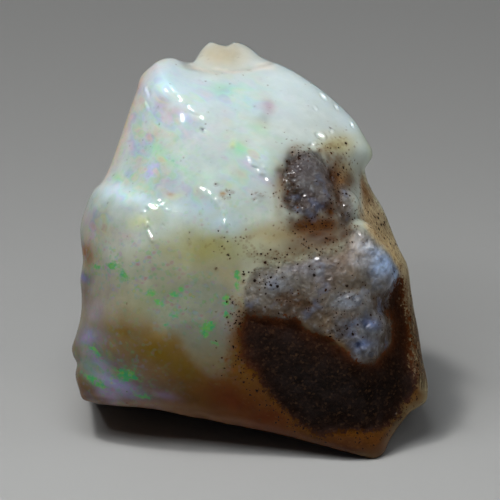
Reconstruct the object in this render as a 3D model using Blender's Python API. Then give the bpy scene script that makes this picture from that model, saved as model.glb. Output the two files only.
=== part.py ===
"""A rough fire opal: one solid stone that stands on its own flat base.

The stone is shaped face on, in millimetres: u runs right, v up and h out of the face, from the
middle of the face. A square blank is drawn out to the stone's outline, its front is raised to the
broken face with its scoops, crests and knobs of potch, and its back is set as deep as the stone
is thick. Then the stone is leaned back and cut off level where it rests.
"""

import math

import bmesh
import bpy
import numpy as np
from mathutils import Matrix, Vector, noise

MM = 0.001

# Driving dimensions, in millimetres and degrees.
LEAN = 20.0  # how far the face leans back once the stone rests on its base
BASE_LEVEL = -15.6  # height of the cut below the middle of the face, measured upright
FOOTPRINT_MIDDLE = (-0.01, 4.21)  # middle of the resting stone, seen from above
EDGE_ROUND = 0.9  # radius of the worn edge around the face
TRIANGLES = 9000  # about how many the worn blank keeps before its base is cut
FACE_SEGMENTS = 132  # squares across the blank
SIDE_SEGMENTS = 15  # squares through the blank

# The outline of the face, anticlockwise from its lower right corner.
OUTLINE = [
    (14.9, -11.8), (15.0, -10.9), (14.6, -8.6), (14.1, -5.7), (13.6, -2.8), (13.2, -0.3),
    (12.6, 0.9), (11.3, 4.1), (9.8, 7.1),
    # the notch where the front layer ends
    (9.7, 7.7), (10.0, 8.2), (10.3, 8.7), (10.3, 9.2),
    (9.8, 10.2), (8.7, 11.9), (7.1, 13.5), (5.2, 15.0), (2.9, 16.4), (0.8, 17.3),
    # two small bumps at the top
    (0.0, 18.0), (-0.7, 18.4), (-1.3, 18.5), (-1.9, 18.2), (-2.6, 18.3), (-3.4, 18.5),
    (-3.9, 18.1), (-4.4, 17.4), (-4.8, 16.8), (-5.3, 16.7),
    # the rounded shoulder at the top left, then down to the waist
    (-6.7, 17.1), (-7.6, 16.9), (-8.4, 16.3), (-9.2, 15.5), (-9.6, 14.3), (-10.9, 10.6),
    (-12.1, 7.3), (-12.5, 6.6), (-13.3, 5.8), (-13.9, 4.4), (-14.3, 2.9), (-14.1, -0.3),
    (-14.3, -1.7), (-14.2, -3.0), (-14.3, -5.0),
    # the knuckle low on the left side
    (-14.6, -6.2), (-15.0, -7.6), (-14.9, -8.1), (-14.6, -8.7), (-14.7, -9.6), (-14.4, -10.9),
    (-14.1, -11.7), (-13.3, -12.0), (-11.8, -12.2), (-8.5, -12.5), (-5.3, -13.1), (2.6, -14.7),
    (9.6, -16.5), (10.5, -16.7), (11.1, -16.4), (11.8, -15.1), (12.6, -13.9), (13.4, -12.9),
]  # fmt: skip

# How far the broad form of the face stands out at places on it: (u, v, h).
RIM_HEIGHTS = [
    (-3.2, 18.3, -7.5), (-1.1, 18.3, -7.5), (-4.8, 16.8, -6.2), (-6.9, 17.0, -5.2),
    (-9.0, 15.5, -4.6), (-10.5, 11.7, -4.5), (-12.0, 7.5, -4.0), (-14.0, 4.0, -3.5),
    (-14.2, 0.0, -3.0), (-14.3, -4.2, -2.5), (-15.0, -7.7, -2.0), (-14.4, -11.1, -1.6),
    (-12.6, -12.1, -0.8), (-5.3, -13.1, 0.4), (0.5, -14.2, 1.0), (5.0, -15.3, 1.2),
    (10.5, -16.7, 0.8), (12.5, -14.0, -0.6), (14.9, -11.6, -1.8), (14.1, -5.7, -2.7),
    (13.5, -2.1, -3.0), (12.4, 1.3, -3.3), (10.8, 4.9, -3.6), (9.7, 7.6, -3.6),
    (10.3, 9.0, -3.2), (8.3, 12.3, -4.2), (5.0, 15.2, -6.0), (1.8, 16.9, -7.0),
]  # fmt: skip
FACE_HEIGHTS = [
    # the upper slope
    (-8.0, 14.7, -1.6), (-5.4, 13.8, -1.1), (-4.2, 11.3, 0.5), (-1.7, 13.9, -2.2), (-4.2, 9.0, 2.25),
    (1.7, 12.6, -0.6), (5.0, 12.2, -1.2), (-8.4, 9.2, 0.0), (-10.1, 5.9, 0.8),
    (4.2, 9.2, 2.0), (7.6, 9.2, -0.2), (8.6, 5.9, 0.8),
    # the shoulder across the middle
    (-11.8, 4.0, 1.0), (-8.4, 4.6, 3.4), (-4.2, 6.7, 3.9), (-2.4, 4.6, 5.2), (0.8, 5.9, 4.4),
    (5.0, 5.9, 3.6), (-8.4, 2.1, 4.4), (-4.2, 0.8, 5.5), (0.0, 1.7, 5.8), (4.2, 0.8, 5.2),
    # the lower face
    (-11.8, 0.0, 1.8), (-11.8, -5.0, 2.1), (-7.6, -3.4, 4.5), (-2.5, -3.4, 5.5),
    (-8.4, -8.4, 3.5), (-3.4, -9.2, 4.3), (1.7, -3.4, 5.3), (2.5, -8.4, 4.7),
    (7.6, -1.7, 4.2), (7.6, -7.6, 4.0), (6.7, -12.6, 3.2), (10.9, -10.1, 1.8),
    (-12.6, -10.1, 0.6),
    # the potch along the right, and the flank beyond it
    (9.6, 1.0, 2.9), (10.2, -1.2, 3.0), (9.8, -6.4, 3.0), (12.2, 0.0, -1.4), (12.6, -6.0, -0.7),
]  # fmt: skip

# Shell-shaped fracture scoops: (u, v, half length, half width, turn in degrees, depth).
FACE_SCOOPS = [
    (-7.7, 12.6, 5.6, 4.2, 50, 0.90),  # upper left facet
    (-9.0, 8.6, 4.6, 3.0, 30, 0.30),
    (2.6, 12.8, 8.0, 5.0, -22, 0.80),  # upper right slope
    (0.6, 5.9, 3.8, 2.8, 15, 0.50),  # rippled scoop in the middle
    (-5.2, 2.8, 4.6, 3.6, -10, 0.40),
    (-11.2, 2.2, 4.0, 3.2, -10, 0.45),
    (-5.2, -1.6, 6.8, 4.2, 10, 0.50),  # lower face
    (-11.6, -9.4, 4.6, 3.2, -35, 0.55),
    (-3.0, -8.6, 5.4, 3.6, -25, 0.50),
]
BACK_SCOOPS = [
    (-6.0, 7.5, 8.0, 6.0, 50, 1.6),
    (5.5, 5.0, 7.5, 6.5, -30, 1.7),
    (-7.0, -4.5, 7.0, 5.5, -10, 1.3),
    (6.5, -5.5, 8.0, 5.0, 20, 1.2),
    (0.5, 13.5, 4.5, 3.0, 0, 0.7),
]

# Crests, each a path on the face with its rise, how far it reaches to either side, and how broadly
# it is worn round.
CRESTS = [
    ([(-8.0, 16.6), (-7.1, 15.3), (-6.0, 14.0), (-4.8, 12.8), (-3.7, 12.1)], 0.30, 0.30, 0.15),
    ([(-7.8, 16.2), (-7.0, 15.2), (-6.1, 14.1), (-5.6, 13.7)], 1.10, 0.80, 0.80),
    ([(-12.6, 6.3), (-11.1, 5.9), (-9.7, 5.1), (-8.2, 4.5)], 0.55, 0.90, 0.25),  # left shoulder
    ([(-4.0, 6.0), (-3.1, 5.4), (-2.3, 4.7), (-2.0, 3.8), (-2.2, 2.6)], 0.65, 0.42, 0.40),
    ([(-8.8, 3.2), (-8.5, 2.5), (-8.1, 1.8)], 0.45, 0.34, 0.30),
    ([(-0.8, 4.6), (0.0, 5.0), (1.0, 5.5)], 0.30, 0.28, 0.25),
    ([(11.4, 4.6), (12.4, 1.6), (13.1, -1.6), (13.6, -5.2), (14.2, -9.6)], 0.50, 0.45, 0.25),  # lip
    ([(14.2, -9.6), (13.6, -11.9), (11.9, -13.9), (10.6, -15.6)], 0.45, 0.45, 0.25),  # lip, below
]

# Sunken patches on the face: (corners, depth, width of the slope into it).
LEDGE = [(-5.4, 16.4), (-3.8, 16.0), (-1.5, 15.9), (0.6, 16.3), (2.2, 16.9), (1.0, 20.0), (-6.0, 20.0)]
HOST_ROCK = [
    (-0.4, -4.5), (1.7, -4.9), (3.6, -4.8), (5.0, -5.8), (6.7, -6.6), (8.0, -7.8), (10.0, -8.8),
    (11.3, -7.8), (11.7, -4.6), (11.0, -3.9), (11.9, -2.4), (12.6, -1.6), (13.1, -4.2),
    (13.6, -7.8), (13.9, -10.2), (13.1, -12.2), (11.6, -13.8), (9.9, -14.5), (7.8, -14.3),
    (5.4, -14.5), (3.7, -13.2), (2.0, -11.8), (1.0, -10.2), (-0.4, -8.4), (-0.9, -6.6),
]  # fmt: skip
POCKET = [
    (2.4, 7.2), (3.4, 8.8), (5.2, 9.2), (6.4, 8.2), (7.4, 6.9), (7.3, 4.4), (6.3, 2.4),
    (4.5, 2.4), (3.0, 3.6), (2.3, 5.4),
]  # fmt: skip
SUNKEN = [(LEDGE, 1.1, 0.60), (HOST_ROCK, 0.45, 1.10), (POCKET, 0.40, 1.20)]

# Knobs of potch: (u, v, radius, how far each stands proud of the face).
KNOBS = [
    # in the pocket, and on the strip beside it
    (4.2, 8.0, 1.4, 0.20), (5.0, 6.9, 1.6, 0.30), (5.5, 5.7, 1.5, 0.30), (4.1, 6.0, 1.3, 0.20),
    (6.0, 4.8, 1.0, 0.20), (4.8, 4.0, 1.0, 0.30), (7.9, 4.5, 1.3, 0.15),
    # the lobe that overhangs the flank
    (9.0, 1.4, 1.9, 0.30), (9.9, 0.1, 2.0, 0.35), (10.4, -1.4, 1.6, 0.28),
    # the upper row, from left to right
    (1.3, -2.0, 1.7, 0.15), (2.6, -1.5, 1.8, 0.20), (4.3, -0.8, 1.8, 0.20),
    (6.1, -0.2, 2.0, 0.35), (7.8, -0.8, 1.7, 0.20),
    # the lower rows
    (0.8, -3.4, 1.8, 0.15), (2.4, -3.6, 1.6, 0.12), (4.2, -2.8, 2.0, 0.20),
    (5.9, -2.6, 1.7, 0.20), (3.7, -4.3, 1.2, 0.15), (5.4, -4.4, 1.6, 0.20),
    (8.4, -3.5, 1.8, 0.28), (7.1, -5.1, 1.5, 0.22), (9.8, -5.4, 1.5, 0.26),
    (8.2, -6.1, 1.6, 0.30), (9.1, -7.2, 1.4, 0.36), (8.5, -8.1, 1.0, 0.26),
]  # fmt: skip
KNOB_MELT = 0.28  # how softly the knobs run into each other and the face

# How deep the edge of the back lies behind the middle of the face: (direction in degrees, depth).
BACK_EDGE = [
    (-90, 16.0), (-60, 15.0), (-30, 12.0), (0, 9.6), (30, 8.8), (60, 9.4), (95, 10.6),
    (120, 9.6), (150, 9.8), (180, 12.0), (205, 16.0), (220, 18.5), (245, 18.0), (270, 16.0),
]  # fmt: skip
WALL_NARROWING = 0.08  # how much smaller the outline is at the back, above the base
BACK_SOFTENING = 9.0  # degrees over which the outline's corners are rounded off at the back
# The depth of the back behind the middle of the face: (u, v, depth).
BACK_DEPTHS = [
    (0, 0, 13.2), (-9, 0, 12.6), (9, 0, 11.6), (0, 9, 12.0), (0, 15, 11.2), (-7, 9, 11.4),
    (6, 9, 10.8), (0, -9, 15.2), (-10, -9, 16.0), (10, -9, 13.6), (0, -14, 16.4),
]  # fmt: skip
ROUGHNESS = 0.22  # how far the broken sides and back wander


def smooth_curve(points, closed, steps=10):
    """Points along a smooth curve through the given points."""
    p = np.array(points, float)
    before = np.roll(p, 1, axis=0)
    after = np.roll(p, -1, axis=0)
    if not closed:
        before[0] = 2 * p[0] - p[1]
        after[-1] = 2 * p[-1] - p[-2]
    gap_before = np.linalg.norm(p - before, axis=1)[:, None]
    gap_after = np.linalg.norm(after - p, axis=1)[:, None]
    slope = ((p - before) / gap_before * gap_after + (after - p) / gap_after * gap_before) / (
        gap_before + gap_after
    )
    t = (np.arange(steps) / steps)[:, None]
    curve = []
    for i in range(len(p) if closed else len(p) - 1):
        j = (i + 1) % len(p)
        gap = gap_after[i]
        curve.append(
            (2 * t**3 - 3 * t**2 + 1) * p[i]
            + (t**3 - 2 * t**2 + t) * gap * slope[i]
            + (3 * t**2 - 2 * t**3) * p[j]
            + (t**3 - t**2) * gap * slope[j]
        )
    if not closed:
        curve.append(p[-1:])
    return np.concatenate(curve)


def thin_plate(places):
    """The smooth sheet through (u, v, height) places, as a function of u and v."""
    places = np.array(places, float)
    centres = places[:, :2]

    def terms(u, v):
        squared = (u[:, None] - centres[:, 0]) ** 2 + (v[:, None] - centres[:, 1]) ** 2
        bends = squared * np.log(squared + 1e-9)
        return np.column_stack([bends, np.ones_like(u), u, v])

    system = terms(*centres.T)
    level = np.column_stack([system[:, -3:].T, np.zeros((3, 3))])
    weights = np.linalg.solve(np.vstack([system, level]), np.append(places[:, 2], [0, 0, 0]))
    return lambda u, v: terms(u, v) @ weights


def distance_to_path(u, v, path):
    """How far each point is from a path of straight steps."""
    nearest = np.full(u.shape, np.inf)
    for (au, av), (bu, bv) in zip(path, path[1:]):
        du, dv = bu - au, bv - av
        along = np.clip(((u - au) * du + (v - av) * dv) / (du * du + dv * dv), 0, 1)
        nearest = np.minimum(nearest, np.hypot(u - au - along * du, v - av - along * dv))
    return nearest


def inside_patch(u, v, corners, slope):
    """1 inside a rounded patch, 0 outside it, with a soft slope of that width between."""
    edge = smooth_curve(corners, closed=True, steps=4)
    inside = np.zeros(u.shape, bool)
    for (au, av), (bu, bv) in zip(edge, np.roll(edge, -1, axis=0)):
        if av != bv:
            crosses = ((av > v) != (bv > v)) & (u < (bu - au) * (v - av) / (bv - av) + au)
            inside ^= crosses
    away = distance_to_path(u, v, np.vstack([edge, edge[:1]]))
    share = np.clip(0.5 + np.where(inside, away, -away) / slope, 0, 1)
    return share * share * (3 - 2 * share)


def scooped(u, v, scoops):
    """How deep the fracture scoops are at each point."""
    squared = np.zeros(u.shape)
    for cu, cv, half_length, half_width, turn, deepest in scoops:
        c, s = math.cos(math.radians(turn)), math.sin(math.radians(turn))
        along = ((u - cu) * c + (v - cv) * s) / half_length
        across = ((v - cv) * c - (u - cu) * s) / half_width
        hollow = np.maximum(1 - along**2 - across**2, 0)
        squared += (deepest * hollow**2) ** 2
    return np.sqrt(squared)


def wander(points, size, seed):
    """Smooth noise from -1 to 1 at each 3-D point, with features of about the given size."""
    shift = Vector((seed, 2 * seed, 3 * seed))
    return np.array([noise.noise(Vector(p) / size + shift) for p in points])


BROAD_FACE = thin_plate(RIM_HEIGHTS + FACE_HEIGHTS)
BROAD_BACK = thin_plate(BACK_DEPTHS)


def face_height(u, v):
    """How far the broken face stands out, before the knobs are set on it."""
    height = BROAD_FACE(u, v) - scooped(u, v, FACE_SCOOPS)
    for path, rise, reach, worn in CRESTS:
        away = distance_to_path(u, v, smooth_curve(path, closed=False))
        height += rise * np.exp(-np.hypot(away, worn) / reach)
    for corners, depth, slope in SUNKEN:
        height -= depth * inside_patch(u, v, corners, slope)
    return height


def outline_radius(angle):
    """The outline's distance from the middle of the face in each direction."""
    curve = smooth_curve(OUTLINE, closed=True)
    angles = np.arctan2(curve[:, 1], curve[:, 0])
    order = np.argsort(angles)
    radii = np.hypot(curve[:, 0], curve[:, 1])
    return np.interp(angle, angles[order], radii[order], period=2 * math.pi)


def back_radius(angle):
    """The softer and narrower outline of the back."""
    nudges = np.radians(BACK_SOFTENING) * np.linspace(-1, 1, 13)
    weights = np.cos(nudges * math.pi / 2 / nudges[-1]) ** 2
    soft = sum(weight * outline_radius(angle + nudge) for weight, nudge in zip(weights, nudges))
    return soft / weights.sum() * (1 - WALL_NARROWING * (1 + np.sin(angle)) / 2)


def back_edge(angle):
    directions, depths = np.array(BACK_EDGE).T
    return np.interp(np.degrees(angle), directions, depths, period=360)


def share_through(y):
    """0 on the front of the blank, 1 on its back."""
    return np.round((y + 1) / 2, 6)


def shaped(blank):
    """Where each point of the square blank goes on the stone, as (u, depth, v)."""
    x, y, z = blank.T
    a = x * np.sqrt(1 - z * z / 2)
    b = z * np.sqrt(1 - x * x / 2)
    angle = np.arctan2(b, a)
    share = np.hypot(a, b)  # 0 in the middle of either face, 1 at its rim
    through = share_through(y)
    rim = outline_radius(angle)
    radius = rim + (back_radius(angle) - rim) * through

    reach = share * (1.25 - 0.25 * share)
    u, v = reach * radius * np.cos(angle), reach * radius * np.sin(angle)
    rim_u, rim_v = rim * np.cos(angle), rim * np.sin(angle)

    inset = np.clip(EDGE_ROUND - (1 - reach) * radius, 0, EDGE_ROUND)
    front = EDGE_ROUND - np.sqrt(EDGE_ROUND**2 - inset**2) - face_height(u, v)
    front_rim = EDGE_ROUND - face_height(rim_u, rim_v)
    back_rim = back_edge(angle)
    back = BROAD_BACK(u, v) - scooped(u, v, BACK_SCOOPS)
    back = back_rim + (back - back_rim) * (1 - share**4)
    side = front_rim + (back_rim - front_rim) * through

    depth = np.select([through == 0, through == 1], [front, back], side)
    return np.column_stack([u, depth, v])


def roughened(points, through):
    """The sides and back with the wander of a broken surface, which fades out at the front rim."""
    amount = ROUGHNESS * np.clip(through * 3, 0, 1)
    radial = wander(points, 3.2, 1.7) + 0.5 * wander(points, 1.4, 5.1)
    deep = wander(points, 3.6, 9.3) + 0.5 * wander(points, 1.5, 4.4)
    away = points[:, [0, 2]] / (np.linalg.norm(points[:, [0, 2]], axis=1)[:, None] + 1e-6)
    moved = points.copy()
    moved[:, [0, 2]] += (amount * (radial - 0.5))[:, None] * away
    moved[:, 1] += amount * deep
    return moved


def with_knobs(points, on_face):
    """The points with those inside a knob's ball pushed out to its surface."""
    moved = points.copy()
    for u, v, radius, proud in KNOBS:
        height = face_height(np.array([u]), np.array([v]))[0] + proud - radius
        centre = np.array([u, -height, v])
        out = moved - centre
        distance = np.linalg.norm(out, axis=1) + 1e-6
        pushed = KNOB_MELT * np.logaddexp(distance / KNOB_MELT, radius / KNOB_MELT)
        near = on_face & (distance < radius + 5 * KNOB_MELT)
        moved[near] = centre + out[near] * (pushed / distance)[near, None]
    return moved


def square_blank(face_segments, side_segments):
    """A cube's front and back faces cut into squares and its sides into rows, as a bmesh."""
    bm = bmesh.new()
    bmesh.ops.create_grid(bm, x_segments=face_segments, y_segments=face_segments, size=1)
    bmesh.ops.rotate(bm, verts=bm.verts, matrix=Matrix.Rotation(math.pi / 2, 3, "X"))
    bmesh.ops.translate(bm, verts=bm.verts, vec=(0, -1, 0))
    front = set(bm.verts)
    extruded = bmesh.ops.extrude_face_region(bm, geom=list(bm.faces), use_keep_orig=True)
    back = [v for v in extruded["geom"] if isinstance(v, bmesh.types.BMVert)]
    bmesh.ops.translate(bm, verts=back, vec=(0, 2, 0))
    through = [e for e in bm.edges if (e.verts[0] in front) != (e.verts[1] in front)]
    bmesh.ops.subdivide_edges(bm, edges=through, cuts=side_segments - 1, use_grid_fill=True)
    bmesh.ops.recalc_face_normals(bm, faces=bm.faces)
    return bm


def leaned():
    """The move from the face-on frame, in millimetres, to the resting stone, in metres."""
    middle_x, middle_y = FOOTPRINT_MIDDLE
    settle = Matrix.Translation((-middle_x, -middle_y, -BASE_LEVEL))
    return Matrix.Scale(MM, 4) @ settle @ Matrix.Rotation(math.radians(-LEAN), 4, "X")


def stone_mesh():
    """The whole stone as a fine closed mesh, before its base is cut."""
    bm = square_blank(FACE_SEGMENTS, SIDE_SEGMENTS)
    blank = np.array([v.co for v in bm.verts])
    through = share_through(blank[:, 1])
    points = with_knobs(roughened(shaped(blank), through), through == 0)
    for vert, point in zip(bm.verts, points):
        vert.co = point
    bmesh.ops.transform(bm, verts=bm.verts, matrix=leaned())
    bmesh.ops.triangulate(bm, faces=bm.faces)
    mesh = bpy.data.meshes.new("stone")
    bm.to_mesh(mesh)
    bm.free()
    return mesh


def thinned(mesh, triangles):
    """The mesh with its triangles merged where it is nearly flat, down to about that many."""
    holder = bpy.data.objects.new("stone_fine", mesh)
    bpy.context.scene.collection.objects.link(holder)
    decimate = holder.modifiers.new("thin", "DECIMATE")
    decimate.ratio = triangles / len(mesh.polygons)
    graph = bpy.context.evaluated_depsgraph_get()
    coarse = bpy.data.meshes.new_from_object(holder.evaluated_get(graph))
    bpy.data.objects.remove(holder)
    return coarse


def cut_level(mesh):
    """The stone cut off flat at z = 0, where it rests."""
    bm = bmesh.new()
    bm.from_mesh(mesh)
    everything = list(bm.verts) + list(bm.edges) + list(bm.faces)
    cut = bmesh.ops.bisect_plane(
        bm, geom=everything, dist=1e-6, plane_co=(0, 0, 0), plane_no=(0, 0, -1), clear_outer=True
    )
    rim = [e for e in cut["geom_cut"] if isinstance(e, bmesh.types.BMEdge)]
    bmesh.ops.contextual_create(bm, geom=rim)
    bmesh.ops.triangulate(bm, faces=bm.faces)
    bmesh.ops.recalc_face_normals(bm, faces=bm.faces)
    bm.to_mesh(mesh)
    bm.free()


def opal_material():
    material = bpy.data.materials.new("milky_opal")
    material.use_nodes = True
    shader = material.node_tree.nodes["Principled BSDF"]
    shader.inputs["Base Color"].default_value = (0.70, 0.69, 0.62, 1)
    shader.inputs["Roughness"].default_value = 0.22
    shader.inputs["Metallic"].default_value = 0.0
    return material


def make_opal():
    mesh = thinned(stone_mesh(), TRIANGLES)
    cut_level(mesh)
    mesh.shade_smooth()
    mesh.set_sharp_from_angle(angle=math.radians(40))
    mesh.materials.append(opal_material())
    opal = bpy.data.objects.new("opal", mesh)
    bpy.context.scene.collection.objects.link(opal)
    return opal


def main():
    for obj in list(bpy.data.objects):
        bpy.data.objects.remove(obj)
    make_opal()


main()
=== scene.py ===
"""The looks of a rough fire opal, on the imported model's frame.

The stone is shaped face on, in millimetres: u runs right, v up and h out of the face, and depth
runs the other way, into the stone. The same blank as the solid's is drawn out much finer, its
broken surface gets its ripples, grain and pits, and it is leaned back onto its flat base. Every
point then carries what it is made of: milky opal, potch or host rock, with the tints of each.
"""

import math

import bmesh
import bpy
import numpy as np
from mathutils import Matrix, Vector, noise


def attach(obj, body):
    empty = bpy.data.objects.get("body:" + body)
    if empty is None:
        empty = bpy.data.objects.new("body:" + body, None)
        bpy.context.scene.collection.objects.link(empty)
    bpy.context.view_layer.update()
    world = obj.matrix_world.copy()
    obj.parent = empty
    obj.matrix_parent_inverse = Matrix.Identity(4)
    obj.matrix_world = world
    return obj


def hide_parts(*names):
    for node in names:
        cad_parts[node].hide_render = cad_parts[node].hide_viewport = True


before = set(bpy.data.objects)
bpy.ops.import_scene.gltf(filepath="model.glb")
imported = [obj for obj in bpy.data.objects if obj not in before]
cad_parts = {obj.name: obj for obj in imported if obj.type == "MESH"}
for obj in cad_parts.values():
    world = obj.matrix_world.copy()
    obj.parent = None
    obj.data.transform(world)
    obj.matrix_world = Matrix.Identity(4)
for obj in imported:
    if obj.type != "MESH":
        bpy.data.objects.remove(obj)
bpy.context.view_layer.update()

MM = 0.001

# Driving dimensions, in millimetres and degrees.
LEAN = 20.0  # how far the face leans back once the stone rests on its base
BASE_LEVEL = -15.6  # height of the cut below the middle of the face, measured upright
FOOTPRINT_MIDDLE = (-0.01, 4.21)  # middle of the resting stone, seen from above
EDGE_ROUND = 0.9  # radius of the worn edge around the face

# The outline of the face, anticlockwise from its lower right corner.
OUTLINE = [
    (14.9, -11.8), (15.0, -10.9), (14.6, -8.6), (14.1, -5.7), (13.6, -2.8), (13.2, -0.3),
    (12.6, 0.9), (11.3, 4.1), (9.8, 7.1),
    # the notch where the front layer ends
    (9.7, 7.7), (10.0, 8.2), (10.3, 8.7), (10.3, 9.2),
    (9.8, 10.2), (8.7, 11.9), (7.1, 13.5), (5.2, 15.0), (2.9, 16.4), (0.8, 17.3),
    # two small bumps at the top
    (0.0, 18.0), (-0.7, 18.4), (-1.3, 18.5), (-1.9, 18.2), (-2.6, 18.3), (-3.4, 18.5),
    (-3.9, 18.1), (-4.4, 17.4), (-4.8, 16.8), (-5.3, 16.7),
    # the rounded shoulder at the top left, then down to the waist
    (-6.7, 17.1), (-7.6, 16.9), (-8.4, 16.3), (-9.2, 15.5), (-9.6, 14.3), (-10.9, 10.6),
    (-12.1, 7.3), (-12.5, 6.6), (-13.3, 5.8), (-13.9, 4.4), (-14.3, 2.9), (-14.1, -0.3),
    (-14.3, -1.7), (-14.2, -3.0), (-14.3, -5.0),
    # the knuckle low on the left side
    (-14.6, -6.2), (-15.0, -7.6), (-14.9, -8.1), (-14.6, -8.7), (-14.7, -9.6), (-14.4, -10.9),
    (-14.1, -11.7), (-13.3, -12.0), (-11.8, -12.2), (-8.5, -12.5), (-5.3, -13.1), (2.6, -14.7),
    (9.6, -16.5), (10.5, -16.7), (11.1, -16.4), (11.8, -15.1), (12.6, -13.9), (13.4, -12.9),
]  # fmt: skip

# How far the broad form of the face stands out at places on it: (u, v, h).
RIM_HEIGHTS = [
    (-3.2, 18.3, -7.5), (-1.1, 18.3, -7.5), (-4.8, 16.8, -6.2), (-6.9, 17.0, -5.2),
    (-9.0, 15.5, -4.6), (-10.5, 11.7, -4.5), (-12.0, 7.5, -4.0), (-14.0, 4.0, -3.5),
    (-14.2, 0.0, -3.0), (-14.3, -4.2, -2.5), (-15.0, -7.7, -2.0), (-14.4, -11.1, -1.6),
    (-12.6, -12.1, -0.8), (-5.3, -13.1, 0.4), (0.5, -14.2, 1.0), (5.0, -15.3, 1.2),
    (10.5, -16.7, 0.8), (12.5, -14.0, -0.6), (14.9, -11.6, -1.8), (14.1, -5.7, -2.7),
    (13.5, -2.1, -3.0), (12.4, 1.3, -3.3), (10.8, 4.9, -3.6), (9.7, 7.6, -3.6),
    (10.3, 9.0, -3.2), (8.3, 12.3, -4.2), (5.0, 15.2, -6.0), (1.8, 16.9, -7.0),
]  # fmt: skip
FACE_HEIGHTS = [
    # the upper slope
    (-8.0, 14.7, -1.6), (-5.4, 13.8, -1.1), (-4.2, 11.3, 0.5), (-1.7, 13.9, -2.2), (-4.2, 9.0, 2.25),
    (1.7, 12.6, -0.6), (5.0, 12.2, -1.2), (-8.4, 9.2, 0.0), (-10.1, 5.9, 0.8),
    (4.2, 9.2, 2.0), (7.6, 9.2, -0.2), (8.6, 5.9, 0.8),
    # the shoulder across the middle
    (-11.8, 4.0, 1.0), (-8.4, 4.6, 3.4), (-4.2, 6.7, 3.9), (-2.4, 4.6, 5.2), (0.8, 5.9, 4.4),
    (5.0, 5.9, 3.6), (-8.4, 2.1, 4.4), (-4.2, 0.8, 5.5), (0.0, 1.7, 5.8), (4.2, 0.8, 5.2),
    # the lower face
    (-11.8, 0.0, 1.8), (-11.8, -5.0, 2.1), (-7.6, -3.4, 4.5), (-2.5, -3.4, 5.5),
    (-8.4, -8.4, 3.5), (-3.4, -9.2, 4.3), (1.7, -3.4, 5.3), (2.5, -8.4, 4.7),
    (7.6, -1.7, 4.2), (7.6, -7.6, 4.0), (6.7, -12.6, 3.2), (10.9, -10.1, 1.8),
    (-12.6, -10.1, 0.6),
    # the potch along the right, and the flank beyond it
    (9.6, 1.0, 2.9), (10.2, -1.2, 3.0), (9.8, -6.4, 3.0), (12.2, 0.0, -1.4), (12.6, -6.0, -0.7),
]  # fmt: skip

# Shell-shaped fracture scoops: (u, v, half length, half width, turn in degrees, depth).
FACE_SCOOPS = [
    (-7.7, 12.6, 5.6, 4.2, 50, 0.90),  # upper left facet
    (-9.0, 8.6, 4.6, 3.0, 30, 0.30),
    (2.6, 12.8, 8.0, 5.0, -22, 0.80),  # upper right slope
    (0.6, 5.9, 3.8, 2.8, 15, 0.50),  # rippled scoop in the middle
    (-5.2, 2.8, 4.6, 3.6, -10, 0.40),
    (-11.2, 2.2, 4.0, 3.2, -10, 0.45),
    (-5.2, -1.6, 6.8, 4.2, 10, 0.50),  # lower face
    (-11.6, -9.4, 4.6, 3.2, -35, 0.55),
    (-3.0, -8.6, 5.4, 3.6, -25, 0.50),
]
BACK_SCOOPS = [
    (-6.0, 7.5, 8.0, 6.0, 50, 1.6),
    (5.5, 5.0, 7.5, 6.5, -30, 1.7),
    (-7.0, -4.5, 7.0, 5.5, -10, 1.3),
    (6.5, -5.5, 8.0, 5.0, 20, 1.2),
    (0.5, 13.5, 4.5, 3.0, 0, 0.7),
]

# Crests, each a path on the face with its rise, how far it reaches to either side, and how broadly
# it is worn round.
CRESTS = [
    ([(-8.0, 16.6), (-7.1, 15.3), (-6.0, 14.0), (-4.8, 12.8), (-3.7, 12.1)], 0.30, 0.30, 0.15),
    ([(-7.8, 16.2), (-7.0, 15.2), (-6.1, 14.1), (-5.6, 13.7)], 1.10, 0.80, 0.80),
    ([(-12.6, 6.3), (-11.1, 5.9), (-9.7, 5.1), (-8.2, 4.5)], 0.55, 0.90, 0.25),  # left shoulder
    ([(-4.0, 6.0), (-3.1, 5.4), (-2.3, 4.7), (-2.0, 3.8), (-2.2, 2.6)], 0.65, 0.42, 0.40),
    ([(-8.8, 3.2), (-8.5, 2.5), (-8.1, 1.8)], 0.45, 0.34, 0.30),
    ([(-0.8, 4.6), (0.0, 5.0), (1.0, 5.5)], 0.30, 0.28, 0.25),
    ([(11.4, 4.6), (12.4, 1.6), (13.1, -1.6), (13.6, -5.2), (14.2, -9.6)], 0.50, 0.45, 0.25),  # lip
    ([(14.2, -9.6), (13.6, -11.9), (11.9, -13.9), (10.6, -15.6)], 0.45, 0.45, 0.25),  # lip, below
]

# Sunken patches on the face: (corners, depth, width of the slope into it).
LEDGE = [(-5.4, 16.4), (-3.8, 16.0), (-1.5, 15.9), (0.6, 16.3), (2.2, 16.9), (1.0, 20.0), (-6.0, 20.0)]
HOST_ROCK = [
    (-0.4, -4.5), (1.7, -4.9), (3.6, -4.8), (5.0, -5.8), (6.7, -6.6), (8.0, -7.8), (10.0, -8.8),
    (11.3, -7.8), (11.7, -4.6), (11.0, -3.9), (11.9, -2.4), (12.6, -1.6), (13.1, -4.2),
    (13.6, -7.8), (13.9, -10.2), (13.1, -12.2), (11.6, -13.8), (9.9, -14.5), (7.8, -14.3),
    (5.4, -14.5), (3.7, -13.2), (2.0, -11.8), (1.0, -10.2), (-0.4, -8.4), (-0.9, -6.6),
]  # fmt: skip
POCKET = [
    (2.4, 7.2), (3.4, 8.8), (5.2, 9.2), (6.4, 8.2), (7.4, 6.9), (7.3, 4.4), (6.3, 2.4),
    (4.5, 2.4), (3.0, 3.6), (2.3, 5.4),
]  # fmt: skip
SUNKEN = [(LEDGE, 1.1, 0.60), (HOST_ROCK, 0.45, 1.10), (POCKET, 0.40, 1.20)]

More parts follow.
